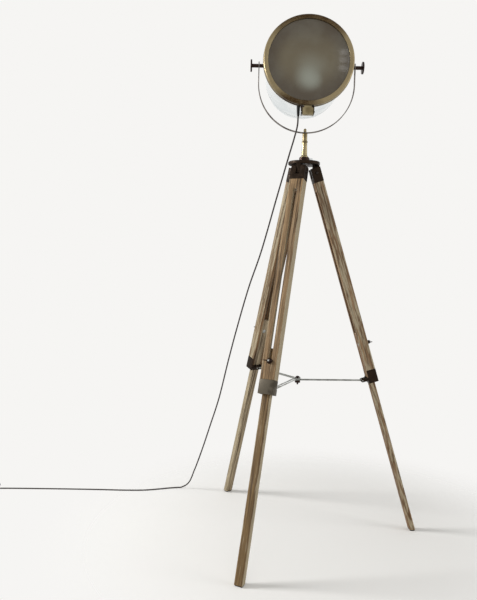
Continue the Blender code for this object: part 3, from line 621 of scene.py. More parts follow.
@dataclass(frozen=True)
class FrostedGlass(Finish):
    """Smoke-tinted glass, acid-frosted on its back: a dull face with a clear front polish.

    Attributes:
        middle: the tint over the lit part of the lamp.
        rim: the painted shade near the edge, the top and the bottom.
        frost_and_painted_glow: the painted glow low in the middle, over the bulb, which also tints the
            frosting's faint paler clouds.
        reach: the glass's radius.
    """

    middle: str
    rim: str
    frost_and_painted_glow: str
    reach: float

    def shade(self, tree: Tree, shader: Node) -> None:
        """Painted shade deepens the tint to the rim, the top and the bottom; a painted glow lies low in the
        middle, over the bulb, and the frosting wanders in faint paler clouds.
        """
        place = add(tree, "TexCoord").outputs["Object"]
        flat = add(tree, "VectorMath", {0: place, 1: (1, 1, 0)}, operation="MULTIPLY").outputs[0]
        away = add(tree, "VectorMath", {0: flat}, operation="LENGTH").outputs["Value"]
        # Painted shade: the tint darkens towards the rim.
        rim = stretch(tree, away, self.reach * 0.55, self.reach * 0.96)
        cloud = speckle(tree, (per_mm(70), per_mm(70), per_mm(70)), 3, 2)
        colour = blend_colours(tree, rim, linear(self.middle), linear(self.rim))
        # Painted shade: the top and the bottom darken towards the rim colour.
        painted_shade_top_bottom = stretch(
            tree, own_part(tree, "Object", 1), self.reach * 0.05, self.reach * 0.95, 0.0, 0.8
        )
        colour = blend_colours(tree, painted_shade_top_bottom, colour, linear(self.rim))
        # Painted glow: three soft pale spots low in the middle stand in for light on the glass.
        for across, low, radius, strength in (
            (-0.02, -0.45, 0.42, 0.75), (0.10, -0.52, 0.30, 0.5), (0.04, -0.20, 0.55, 0.35)
        ):
            centre = (across * self.reach, low * self.reach, 0)
            gap = add(tree, "VectorMath", {0: flat, 1: centre}, operation="DISTANCE").outputs["Value"]
            glow = stretch(tree, gap, self.reach * radius, 0.0, 0.0, strength)
            colour = blend_colours(tree, glow, colour, linear(self.frost_and_painted_glow))
        colour = blend_colours(tree, stretch(tree, cloud, 0.4, 0.75, 0.0, 0.12), colour, linear(self.frost_and_painted_glow))
        tree.links.new(colour, shader.inputs["Base Color"])
        tree.links.new(stretch(tree, cloud, 0.3, 0.7, 0.38, 0.5), shader.inputs["Roughness"])
        shader.inputs["IOR"].default_value = 1.5
        shader.inputs["Transmission Weight"].default_value = 0.25
        shader.inputs["Coat Weight"].default_value = 0.6
        shader.inputs["Specular IOR Level"].default_value = 0.25
        shader.inputs["Coat Roughness"].default_value = 0.07
        frost = speckle(tree, (per_mm(2), per_mm(2), per_mm(2)), 2, 6)
        self.bump(tree, shader, frost, mm(0.01))


@dataclass(frozen=True)
class Smooth(Finish):
    """A moulded, glazed or blown surface with a fine unevenness.

    Attributes:
        colour: the body colour.
        shade_colour: the tone of dust and fingerprints.
        roughness: the mean roughness.
        texture_mm: the size of the unevenness.
        relief: how deep it is, in metres.
        transmission: 1 for clear glass.
        ior: the refractive index.
        coat: a glaze's weight.
    """

    colour: str
    shade_colour: str
    roughness: float
    texture_mm: float = 1.5
    relief: float = mm(0.02)
    transmission: float = 0.0
    ior: float = 1.5
    coat: float = 0.0

    def shade(self, tree: Tree, shader: Node) -> None:
        """Dust lies in broad patches; the texture is even."""
        dust = speckle(tree, (per_mm(18), per_mm(18), per_mm(18)), 4, 4)
        fine = speckle(tree, (per_mm(self.texture_mm),) * 3, 2, 7)
        share = stretch(tree, dust, 0.42, 0.72, 0.0, 0.6)
        colour = blend_colours(tree, share, linear(self.colour), linear(self.shade_colour))
        tree.links.new(colour, shader.inputs["Base Color"])
        rough = stretch(tree, dust, 0.3, 0.7, self.roughness * 0.85, min(1, self.roughness * 1.2))
        tree.links.new(rough, shader.inputs["Roughness"])
        shader.inputs["IOR"].default_value = self.ior
        shader.inputs["Transmission Weight"].default_value = self.transmission
        shader.inputs["Coat Weight"].default_value = self.coat
        self.bump(tree, shader, fine, self.relief)


@dataclass(frozen=True)
class BraidedCotton(Finish):
    """Two sets of cotton strands braided over the flex, drawn at twice their real width so that they show.

    Attributes:
        strand: the strands' colour.
        gap: the painted shade in the hollows between them.
        fleck: the second colour of the braid.
        pitch: how far a strand runs along the flex in one turn.
    """

    strand: str
    gap: str
    fleck: str
    pitch: float

    def shade(self, tree: Tree, shader: Node) -> None:
        """The Route map holds metres along the flex and the turn round it."""
        route = add(tree, "SeparateXYZ", {0: add(tree, "UVMap", uv_map="Route").outputs[0]})
        along = add(
            tree, "Math", {0: route.outputs[0], 1: math.tau / self.pitch}, operation="MULTIPLY"
        ).outputs[0]
        around = add(tree, "Math", {0: route.outputs[1], 1: math.tau * 6}, operation="MULTIPLY").outputs[0]
        waves = []
        for sign in ("ADD", "SUBTRACT"):
            phase = add(tree, "Math", {0: around, 1: along}, operation=sign).outputs[0]
            waves.append(add(tree, "Math", {0: phase}, operation="SINE").outputs[0])
        cross = add(tree, "Math", {0: waves[0], 1: waves[1]}, operation="MULTIPLY").outputs[0]
        lift = stretch(tree, cross, -0.5, 0.6)
        # Painted shade: the hollows between the strands take the dark gap colour.
        colour = blend_colours(tree, lift, linear(self.gap), linear(self.strand))
        colour = blend_colours(tree, stretch(tree, waves[0], 0.75, 1.0, 0.0, 0.5), colour, linear(self.fleck))
        tree.links.new(colour, shader.inputs["Base Color"])
        shader.inputs["Roughness"].default_value = 0.85
        shader.inputs["Sheen Weight"].default_value = 0.3
        self.bump(tree, shader, lift, mm(0.35))


TURNED = (per_mm(20), per_mm(20), per_mm(0.8))
BRASS_POST = BareMetal(
    "antique_brass_turned", "antique_brass", "#8d8163", "#4d4026", 0.28, 0.3, grain=TURNED, relief=mm(0.004),
    patch_mm=45
)
# The ring's second colour is a painted dark reflection at the top and the lower left.
BRASS_RING = BrassPaintedReflection("brass_spun_painted_reflection", "antique_brass", "#8c7e60", "#38260f", mm(127.5))
BRASS_PIN = BareMetal("brass_stamped", "antique_brass", "#c2a76a", "#7b6234", 0.28)
BLACK_IRON = BareMetal(
    "black_iron_cast", "black_iron", "#21170e", "#33261b", 0.45, 0.3, 0.85, (per_mm(2.4),) * 3, mm(0.10), 14
)
WORN_IRON = BareMetal(
    "black_iron_rubbed", "black_iron", "#544d41", "#453e33", 0.55, 0.3, 0.6, (per_mm(2.4),) * 3, mm(0.05), 30
)
BLACK_LACQUER = BareMetal(
    "black_iron_lacquered", "black_iron", "#23130e", "#33241d", 0.35, 0.3, 0.8, (per_mm(2),) * 3, mm(0.03)
)
NICKEL = BareMetal(
    "polished_nickel_spun", "polished_nickel", "#eef1f2", "#dde2e4", 0.22, 0.35, grain=TURNED,
    relief=mm(0.003), patch_mm=90
)
BLUED = BareMetal("steel_blued", "steel", "#2e2926", "#413a33", 0.38, 0.3)
BAR_STEEL = BareMetal("steel_rolled", "steel", "#8d8f8a", "#6a6a66", 0.36, 0.35)
YOKE_STEEL = BareMetal(
    "steel_burnished", "steel", "#7d7771", "#564f4a", 0.34, 0.4, grain=(per_mm(14), per_mm(1.2), per_mm(14))
)
ZINC = BareMetal("steel_zinc_plated", "steel", "#a8aaa8", "#7d7b72", 0.30, 0.3)
SPUN_ALUMINIUM = BareMetal("aluminium_spun", "aluminium", "#dddddb", "#bdbdba", 0.22, 0.25, grain=TURNED)
# The glass's second colour is painted shade at the rim, the top and the bottom; its third is a painted glow
# over the bulb.
SMOKED = FrostedGlass("glass_smoked_frosted", "smoked_glass", "#6e6245", "#4a3b20", "#a6aa9c", mm(114.2))
CLEAR = Smooth(
    "glass_clear_blown", "clear_glass", "#f4f2ea", "#e4e0d2", 0.03, transmission=1.0, relief=mm(0.004),
    texture_mm=20
)
PORCELAIN = Smooth("porcelain_glazed", "porcelain", "#e9e3d3", "#cfc6b0", 0.22, coat=0.6, texture_mm=6)
RUBBER = Smooth("rubber_moulded", "black_rubber", "#1b1a19", "#34312e", 0.72, texture_mm=1.2, relief=mm(0.04))
GASKET = Smooth("rubber_gasket", "black_rubber", "#3a2f22", "#524534", 0.7, texture_mm=1.2, relief=mm(0.03))
# The flex's second colour is painted shade between the strands.
COTTON = BraidedCotton("cloth_braided", "cloth_cord", "#352823", "#15100d", "#4a3c34", mm(14))


def settle(piece: Piece, body: str, finish: Finish, *nodes: str) -> Piece:
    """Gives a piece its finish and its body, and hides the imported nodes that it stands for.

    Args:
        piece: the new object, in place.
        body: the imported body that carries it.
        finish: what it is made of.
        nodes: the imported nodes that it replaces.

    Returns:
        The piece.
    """
    piece.data.materials.clear()
    piece.data.materials.append(finish.material())
    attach(piece, body)
    if nodes:
        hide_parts(*nodes)
    LOG.info("%s rides on %s in %s", piece.name, body, finish.name)
    return piece


# ---------------------------------------------------------------- studio
@dataclass
class Studio:
    """A pale, even studio: one floor that fades into the backdrop, a soft key light and two fills.

    Attributes:
        feet: the middle of the three feet.
        tone: the backdrop's colour.
    """

    feet: Vector
    tone: str = "#f6f5f3"
    floor_reach: float = 6.0
    backdrop_reach: float = 14.0
    window: tuple[float, float, float] = (0.68, -2.23, 2.41)
    pane: tuple[float, float] = (0.12, 0.085)

    def build(self) -> None:
        """Floor, backdrop, world and lights."""
        self.lay_floor()
        self.hang_backdrop()
        self.light_world()
        middle = self.feet + Vector((0, 0, 0.6))
        self.hang("key_light", (-2.9, 0.1, 1.8), (0.8, 0.8), 78, middle)
        self.hang("front_fill", (-0.6, -3.4, 1.6), (2.4, 2.4), 20, middle, mirrored=False)
        self.hang("right_fill", (2.8, -0.9, 1.7), (1.2, 2.0), 22, middle)
        for row in (-1, 0, 1):
            place = Vector(self.window) + Vector((row * 0.012, 0, row * 0.135))
            self.hang(f"window_pane_{row + 2}", place, self.pane, 0.10, self.feet + Vector((0, 0, 1.38)))

    def lay_floor(self) -> None:
        """One sheet of paper; it turns clear far out, so that it has no horizon."""
        bm = bmesh.new()
        bmesh.ops.create_circle(bm, cap_ends=True, radius=self.floor_reach, segments=96)
        floor = new_piece("studio_floor", bm, Matrix.Translation((self.feet.x, self.feet.y, 0)))
        paper = bpy.data.materials.new("matt_paper")
        paper.use_nodes = True
        tree = paper.node_tree
        shader = tree.nodes["Principled BSDF"]
        shader.inputs["Base Color"].default_value = linear("#ebeae7")
        shader.inputs["Roughness"].default_value = 0.95
        shader.inputs["Specular IOR Level"].default_value = 0.1
        place = add(tree, "TexCoord").outputs["Object"]
        away = add(tree, "VectorMath", {0: place}, operation="LENGTH").outputs["Value"]
        clear = stretch(tree, away, 0.35, 0.88)
        gone = add(tree, "BsdfTransparent")
        both = add(tree, "MixShader", {0: clear, 1: shader.outputs[0], 2: gone.outputs[0]})
        tree.links.new(both.outputs[0], tree.nodes["Material Output"].inputs["Surface"])
        floor.data.materials.append(paper)

    def hang_backdrop(self) -> None:
        """A pale shell far round the lamp; it is seen, and lights nothing."""
        bm = bmesh.new()
        bmesh.ops.create_icosphere(bm, subdivisions=4, radius=self.backdrop_reach)
        shell = new_piece("studio_backdrop", bm, Matrix.Identity(4))
        paint = bpy.data.materials.new("lit_backdrop")
        paint.use_nodes = True
        tree = paint.node_tree
        glow = add(tree, "Emission", {"Color": linear(self.tone)})
        tree.links.new(glow.outputs[0], tree.nodes["Material Output"].inputs["Surface"])
        shell.data.materials.append(paint)
        for ray in ("diffuse", "transmission", "volume_scatter", "shadow"):
            setattr(shell, f"visible_{ray}", False)

    def light_world(self) -> None:
        """Even light from everywhere, in the backdrop's tone."""
        world = bpy.data.worlds.new("pale_backdrop")
        bpy.context.scene.world = world
        world.use_nodes = True
        backdrop = world.node_tree.nodes["Background"]
        backdrop.inputs["Color"].default_value = linear(self.tone)
        backdrop.inputs["Strength"].default_value = 0.52
        bpy.context.scene.view_settings.view_transform = "Standard"

    def hang(
        self, name: str, place: Sequence[float], size: Sequence[float], watts: float, target: Vector,
        mirrored: bool = True
    ) -> None:
        """Hangs a soft box.

        Args:
            name: the light's name.
            place: where it hangs, from the feet.
            size: its width and height.
            watts: its power.
            target: the point that it faces.
            mirrored: whether glass and metal show it.
        """
        light = bpy.data.lights.new(name, "AREA")
        light.shape = "RECTANGLE"
        light.size, light.size_y = size
        light.energy = watts
        lamp = bpy.data.objects.new(name, light)
        lamp.location = self.feet + Vector(place)
        aim = target - lamp.location
        lamp.visible_camera = False
        lamp.visible_glossy = mirrored
        lamp.rotation_euler = aim.to_track_quat("-Z", "Y").to_euler()
        bpy.context.scene.collection.objects.link(lamp)


@dataclass
class Viewpoint:
    """The camera: low, in front and a little to the left, turned down and rolled slightly.

    Attributes:
        axis: the tripod's axis at floor level.
        stand_off: the camera's place from that axis.
        pitch: how far it looks down.
        roll: how far its right side is raised.
        yaw: how far it turns left.
    """

    axis: Vector
    stand_off: tuple[float, float, float] = (-0.179, -1.870, 0.839)
    pitch: float = math.radians(4.32)
    roll: float = math.radians(1.32)
    yaw: float = math.radians(0.08)
    lens_mm: float = 38.03

    def build(self) -> None:
        """Makes the camera and gives it to the scene."""
        level = Vector((math.cos(self.yaw), math.sin(self.yaw), 0))
        ahead = Vector((-math.sin(self.yaw), math.cos(self.yaw), 0)) * math.cos(self.pitch)
        ahead.z = -math.sin(self.pitch)
        upright = level.cross(ahead)
        right = level * math.cos(self.roll) + upright * math.sin(self.roll)
        up = upright * math.cos(self.roll) - level * math.sin(self.roll)
        data = bpy.data.cameras.new("front_view")
        data.lens = self.lens_mm
        data.sensor_width = 36
        camera = bpy.data.objects.new("front_view", data)
        camera.matrix_world = axes_at(self.axis + Vector(self.stand_off), right, up, -ahead)
        bpy.context.scene.collection.objects.link(camera)
        bpy.context.scene.camera = camera


# ---------------------------------------------------------------- flex
@dataclass
class Flex:
    """The cloth-covered flex from the drum to the floor, its coil, its tie and its plug.

    Attributes:
        head: the drum's own axes.
        leave: where the flex leaves its gland, in those axes.
        route: the points that it passes, from the gland down to the floor and on to the coil.
        coil_middle: the coil's centre on the floor.
        tilt_zone: the heights between which the flex takes up the tilt.
        pan_zone: the heights between which it takes up the pan.
        below_tilt: how far under the tilt zone the upper stretch is cut.
        below_pan: how far under the pan zone the middle stretch is cut.
    """

    head: Matrix
    leave: tuple[float, float, float] = (-0.0245, -0.1503, 0.028)
    diameter: float = mm(4.6)
    coil_middle: tuple[float, float] = (-1.135, 0.306)
    coil_radius: float = 0.0269
    coil_pitch: float = 0.0049
    coil_turns: float = 1.5
    tilt_zone: tuple[float, float] = (1.222, 1.150)
    pan_zone: tuple[float, float] = (1.147, 1.088)
    below_tilt: float = mm(3)
    below_pan: float = mm(20)
    plug_middle: tuple[float, float, float] = (-1.128, 0.2655, 0.0085)
    route: tuple = (
        (-0.1040, -0.0240, 1.202),
        (-0.1105, -0.0080, 1.170),
        (-0.121, 0.010, 1.130),
        (-0.153, 0.047, 1.005),
        (-0.195, 0.094, 0.839),
        (-0.229, 0.123, 0.730),
        (-0.264, 0.165, 0.593),
        (-0.289, 0.196, 0.485),
        (-0.319, 0.235, 0.347),
        (-0.347, 0.263, 0.249),
        (-0.374, 0.290, 0.157),
        (-0.401, 0.313, 0.075),
        (-0.424, 0.328, 0.020),
        (-0.452, 0.333, 0.0024),
        (-0.486, 0.326, 0.0024),
        (-0.520, 0.315, 0.0024),
        (-0.569, 0.301, 0.0024),
        (-0.640, 0.295, 0.0024),
        (-0.735, 0.295, 0.0024),
        (-0.929, 0.291, 0.0024),
        (-1.060, 0.286, 0.0024),
    )

    def build(self) -> None:
        """The three stretches of the flex, then what is on it."""
        knots = [self.head @ Vector(self.leave), *self.route, *self.coil(), *self.tail()]
        line = self.laid(self.smooth(knots, mm(5)))
        upper_end = next(i for i, point in enumerate(line) if point.z < self.tilt_zone[1] - self.below_tilt)
        pan_end = next(i for i, point in enumerate(line) if point.z < self.pan_zone[1] - self.below_pan)
        plug, pins = self.plug()
        tie = self.tie()
        upper = self.tube("flex_upper", line[: upper_end + 1])
        middle = self.tube("flex_middle", line[upper_end : pan_end + 1])
        lower = self.tube("flex_lower", line[pan_end:])
        for piece in (upper, middle, lower):
            piece.data.materials.append(COTTON.material())
        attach(lower, "crown")
        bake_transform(upper)
        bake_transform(middle)
        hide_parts("cord_run")
        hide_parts("cord_floor", "cord_coil")

    def coil(self) -> list[Vector]:
        """The coil's points: it runs clockwise from its near side, working inwards."""
        count = math.ceil(self.coil_turns * 16)
        points = []
        for i in range(count + 1):
            turned = self.coil_turns * i / count
            angle = -math.pi / 2 - math.tau * turned
            radius = self.coil_radius - self.coil_pitch * turned
            lift = self.diameter * max(0.0, turned - self.coil_turns + 0.2) * 3.5
            x = self.coil_middle[0] + radius * math.cos(angle)
            y = self.coil_middle[1] + radius * math.sin(angle)
            points.append(Vector((x, y, self.diameter / 2 + mm(0.1) + lift)))
        return points

    def tail(self) -> list[Vector]:
        """From the coil's far side round to the plug, over the coil and the incoming flex."""
        x, y, z = self.plug_middle
        back = x + 0.018
        far = self.coil_middle[1] + self.coil_radius - self.coil_pitch * self.coil_turns
        radius = (far - y) / 2
        raised = self.diameter * 1.5 + mm(0.5)
        bend = arc((back, y + radius), radius, 78, -78, 9)
        points = [Vector((px, py, raised + (z - raised) * i / 8)) for i, (px, py) in enumerate(bend)]
        return [*points, Vector((back + mm(1), y, z))]

    @staticmethod
    def smooth(points: Sequence, spacing: float) -> list[Vector]:
        """Evenly spaced points on a centripetal spline through the route's own points.

        Args:
            points: the route's own points.
            spacing: the distance between the points that come back.

        Returns:
            The even points, with both ends.
        """
        points = [Vector(point) for point in points]
        knots = [points[0] * 2 - points[1], *points, points[-1] * 2 - points[-2]]
        dense = [points[0]]
        for a, b, c, d in zip(knots, knots[1:], knots[2:], knots[3:]):
            tb = math.sqrt((b - a).length)
            tc = tb + math.sqrt((c - b).length)
            td = tc + math.sqrt((d - c).length)
            for i in range(1, 25):
                t = tb + (tc - tb) * i / 24
                ab = a * (tb - t) / tb + b * t / tb
                bc = b * (tc - t) / (tc - tb) + c * (t - tb) / (tc - tb)
                cd = c * (td - t) / (td - tc) + d * (t - tc) / (td - tc)
                abc = ab * (tc - t) / tc + bc * t / tc
                bcd = bc * (td - t) / (td - tb) + cd * (t - tb) / (td - tb)
                dense.append(abc * (tc - t) / (tc - tb) + bcd * (t - tb) / (tc - tb))
        total = sum((b - a).length for a, b in zip(dense, dense[1:]))
        count = max(2, round(total / spacing))
        even, walked = [dense[0]], 0.0
        for a, b in zip(dense, dense[1:]):
            length = (b - a).length
            while len(even) < count and walked + length >= total / count * len(even):
                even.append(a.lerp(b, (total / count * len(even) - walked) / length))
            walked += length
        return [*even, dense[-1]]

    def laid(self, points: Sequence[Vector]) -> list[Vector]:
        """The points, none lower than the flex lies on the floor."""
        lowest = self.diameter / 2 + mm(0.1)
        return [Vector((point.x, point.y, max(point.z, lowest))) for point in points]

    def tube(self, name: str, line: Sequence[Vector], sides: int = 14) -> Piece:
        """A round tube along a line, with a Route map of metres and turns for its braid.

        Args:
            name: the piece's name.
            line: its centreline.
            sides: how many flats make the round.

        Returns:
            The new object.
        """
        bm = bmesh.new()
        route = bm.loops.layers.uv.new("Route")
        tangents = [(b - a).normalized() for a, b in zip(line, line[1:])]
        tangents = [
            tangents[0], *[(a + b).normalized() for a, b in zip(tangents, tangents[1:])], tangents[-1]
        ]
        side = tangents[0].cross(Vector((0, 1, 0))).normalized()
        rings, along, walked = [], [], 0.0
        for i, (point, ahead) in enumerate(zip(line, tangents)):
            side = (side - ahead * side.dot(ahead)).normalized()
            other = ahead.cross(side)
            if i:
                walked += (point - line[i - 1]).length
            along.append(walked)
            ring = []
            for k in range(sides):
                angle = math.tau * k / sides
                outward = side * math.cos(angle) + other * math.sin(angle)
                ring.append(bm.verts.new(point + outward * (self.diameter / 2)))
            rings.append(ring)
        for i, (low, high) in enumerate(zip(rings, rings[1:])):
            for k in range(sides):
                nxt = (k + 1) % sides
                face = bm.faces.new((low[k], low[nxt], high[nxt], high[k]))
                places = ((along[i], k), (along[i], k + 1), (along[i + 1], k + 1), (along[i + 1], k))
                for loop, (metres, step) in zip(face.loops, places):
                    loop[route].uv = (metres, step / sides)
        bm.faces.new(list(reversed(rings[0])))
        bm.faces.new(rings[-1])
        return new_piece(name, bm, Matrix.Identity(4), 60)

    def tie(self) -> Piece:
        """A rubber band round the coil's two strands."""
        angle = math.radians(205)
        middle = self.coil_radius - self.coil_pitch * 0.74
        out = Vector((math.cos(angle), math.sin(angle), 0))
        centre = Vector((*self.coil_middle, self.diameter / 2 + mm(0.5))) + out * middle
        along = Vector((-out.y, out.x, 0))
        local = axes_at(centre, out, Vector((0, 0, 1)), along)
        wide, high = mm(5.6), mm(2.75)
        rings = []
        for i in range(32):
            turned = math.tau * i / 32
            spread = [abs(f) ** 0.7 * math.copysign(1, f) for f in (math.cos(turned), math.sin(turned))]
            centre_line = Vector((wide * spread[0], high * spread[1], 0))
            outward = centre_line.normalized() * mm(0.5)
            rings.append([centre_line + sign * outward + Vector((0, 0, z)) for sign, z in
                          ((-1, -mm(1.6)), (1, -mm(1.6)), (1, mm(1.6)), (-1, mm(1.6)))])
        bm = bmesh.new()
        made = [[bm.verts.new(point) for point in ring] for ring in rings]
        for low, high_ring in zip(made, made[1:] + made[:1]):
            for i in range(4):
                bm.faces.new((low[i], low[(i + 1) % 4], high_ring[(i + 1) % 4], high_ring[i]))
        return settle(new_piece("flex_tie", bm, local, 50), "crown", RUBBER)

    def plug(self) -> tuple[Piece, Piece]:
        """A moulded two-pin plug with a ribbed sleeve, lying beside the coil."""
        sections = (
            (0.0195, 2.9, 2.9, 2.0), (0.0190, 3.4, 3.4, 2.0), (0.0165, 3.6, 3.6, 2.0),
            (0.0160, 4.2, 4.2, 2.0),
            (0.0145, 4.3, 4.3, 2.0), (0.0140, 3.8, 3.8, 2.0), (0.0130, 3.9, 3.9, 2.0),
            (0.0125, 4.8, 4.7, 2.1),
            (0.0105, 5.2, 5.0, 2.2), (0.0080, 7.4, 6.2, 2.5), (0.0050, 9.4, 7.3, 2.9),
            (0.0015, 10.5, 8.0, 3.3),
            (-0.0060, 10.9, 8.3, 3.8), (-0.0150, 10.9, 8.3, 4.0), (-0.0172, 10.5, 7.9, 4.0),
            (-0.0180, 9.6, 7.0, 4.0),
        )
        rings = []
        for x, wide, high, power in sections:
            ring = []
            for i in range(40):
                angle = math.tau * i / 40
                cosine, sine = math.cos(angle), math.sin(angle)
                y = mm(wide) * math.copysign(abs(cosine) ** (2 / power), cosine)
                z = mm(high) * math.copysign(abs(sine) ** (2 / power), sine)
                ring.append(Vector((x, y, z)))
            rings.append(ring)
        body = loft("plug_moulding", rings, Matrix.Translation(self.plug_middle))
        settle(body, "crown", RUBBER, "plug_body")
        pins = refined("plug_pins", "plug_blades", Matrix.Translation(self.plug_middle), mm(0.35))
        settle(pins, "crown", BRASS_PIN, "plug_pins")
        return body, pins


# ---------------------------------------------------------------- crown, post and yoke
@dataclass
class Crown:
    """The cast hub on top of the legs, the collar that the post turns in and its lock screw.

    Attributes:
        top: the middle of the hub's top face.
    """

    top: Vector
    spigot: float = mm(10.3)
    collar_radius: float = mm(14.5)
    collar_height: float = mm(12.5)

    def build(self) -> None:
        """Hub, collar and lock screw."""
        local = Matrix.Translation(self.top)
        settle(refined("crown_hub", "cast_hub", local, mm(1.3), 3), "crown", BLACK_IRON, "crown_hub")
        low, high = GAP, GAP + self.collar_height
        ring = [
            (self.spigot, high),
            *arc((self.collar_radius - mm(1.4), high - mm(1.4)), mm(1.4), 90, 0, 6),
            (self.collar_radius, low + mm(2.6)),
            *arc((self.collar_radius, low + mm(1.9)), mm(0.7), 90, 270, 6),
            (self.collar_radius, low + mm(0.6)),
            (self.collar_radius - mm(0.6), low),
            (self.spigot, low),
        ]
        settle(turn("turned_collar", ring, local, closed=True), "crown", BLACK_LACQUER, "post_collar")
        across = Matrix.Rotation(math.pi / 2, 4, "Y")
        middle = (low + high) / 2
        start, shoulder, end = mm(10.6), mm(15.5), mm(24.5)
        outline = soften(
            [(0, start), (mm(2), start), (mm(2), shoulder), (mm(4.2), shoulder), (mm(4.2), end), (0, end)],
            mm(0.6)
        )
        ridges = Knurl(24, mm(0.35), shoulder + mm(0.7), end - mm(0.7))
        screw = turn(
            "lock_screw", outline, local @ Matrix.Translation((0, 0, middle)) @ across, 96, knurls=[ridges]
        )
        settle(screw, "crown", NICKEL, "pan_lock_screw")


@dataclass
class Post:
    """The turned brass post and the acorn nut that holds the yoke on it; heights are from the hub's top.

    Attributes:
        top: the middle of the hub's top face.
        yoke_low: the underside of the yoke's strap.
    """

    top: Vector
    yoke_low: float
    strap: float = mm(2.5)
    radius: float = mm(7)
    stud: float = mm(3)
    spigot: float = mm(10)

    def build(self) -> None:
        """Post and nut."""
        local = Matrix.Translation(self.top)
        foot = mm(13.1)
        bead = foot + mm(42)
        shoulder = self.yoke_low - GAP
        thread = self.yoke_low + self.strap + mm(6)
        outline = [
            (0, thread),
            (self.stud, thread),
            (self.stud, shoulder),
            (self.radius - mm(0.6), shoulder),
            (self.radius, shoulder - mm(0.6)),
            (self.radius, bead + mm(4.2)),
            *arc((self.radius, bead + mm(2)), mm(2), 75, -75, 13),
            (self.radius, bead - mm(0.2)),
            (self.radius + mm(0.3), foot + mm(34)),
            (self.radius + mm(1), foot + mm(10)),
            *arc((self.radius + mm(5), foot + mm(6)), mm(3.6), 180, 240, 6),
            (self.spigot + mm(1), foot + mm(1.6)),
            (self.spigot + mm(1), foot),
            (self.spigot, foot),
            (self.spigot, -mm(10)),
            (0, -mm(10)),
        ]
        settle(turn("turned_post", outline, local), "yoke", BRASS_POST, "post")
        low = self.yoke_low + self.strap + GAP
        bore = self.stud + GAP
        nut = [
            (0, low + mm(11)),
            *arc((0, low + mm(6.8)), mm(4.2), 86, 10, 12),
            (mm(4.0), low + mm(5.4)),
            (mm(4.2), low + mm(4.8)),
            (mm(4.2), low + mm(0.4)),
            (mm(3.9), low),
            (bore, low),
            (bore, low + mm(6.4)),
            (0, low + mm(6.4)),
        ]
        settle(turn("acorn_nut", nut, local), "yoke", BRASS_POST, "finial_nut")


@dataclass
class Yoke:
    """A flat steel strip bent to a U, with rounded ends above the tilt axis.

    Attributes:
        tilt: the middle of the tilt axis.
        low: the height of the strip's underside at the bottom.
        radius: the bend's radius at mid thickness.
    """

    tilt: Vector
    low: float
    radius: float = mm(138.1)
    thickness: float = mm(2.5)
    width: float = mm(12)
    above: float = mm(12)
    edge: float = mm(0.5)

    def build(self) -> None:
        """Sweeps the strip's section round the U."""
        centre = self.low + self.thickness / 2 + self.radius - self.tilt.z
        ends = [
            self.above - self.width / 2 * (1 - math.sin(math.radians(a))) for a in (84, 72, 58, 42, 24, 0)
        ]
        right = [(self.radius, height) for height in ends] + [(self.radius, -mm(6)), (self.radius, -mm(14))]
        bend = arc((0, centre), self.radius, 0, -180, 121)
        stations = right + bend + [(-x, height) for x, height in reversed(right)]
        rings = []
        for i, (x, z) in enumerate(stations):
            before, after = stations[max(i - 1, 0)], stations[min(i + 1, len(stations) - 1)]
            along = Vector((after[0] - before[0], 0, after[1] - before[1])).normalized()
            outward = Vector((-along.z, 0, along.x))
            drop = max(0.0, z - (self.above - self.width / 2))
            half = math.sqrt(max((self.width / 2) ** 2 - drop**2, mm(0.7) ** 2))
            rings.append(self.section(Vector((x, 0, z)), outward, half))
        strip = loft("bent_strip", rings, Matrix.Translation(self.tilt), 50)
        settle(strip, "yoke", YOKE_STEEL, "yoke_strap")

    def section(self, middle: Vector, outward: Vector, half: float) -> list[Vector]:
        """The strip's section with rounded edges.

        Args:
            middle: its centre.
            outward: the direction of its thickness.
            half: half its width.

        Returns:
            The section's points.
        """
        thin = self.thickness / 2
        points = []
        for quarter, (sign_y, sign_t) in enumerate(((1, 1), (-1, 1), (-1, -1), (1, -1))):
            for step in (0, 0.5, 1):
                angle = (quarter + step) * math.pi / 2
                y = sign_y * (half - self.edge) + self.edge * math.cos(angle)
                t = sign_t * (thin - self.edge) + self.edge * math.sin(angle)
                points.append(middle + outward * t + Vector((0, y, 0)))
        return points


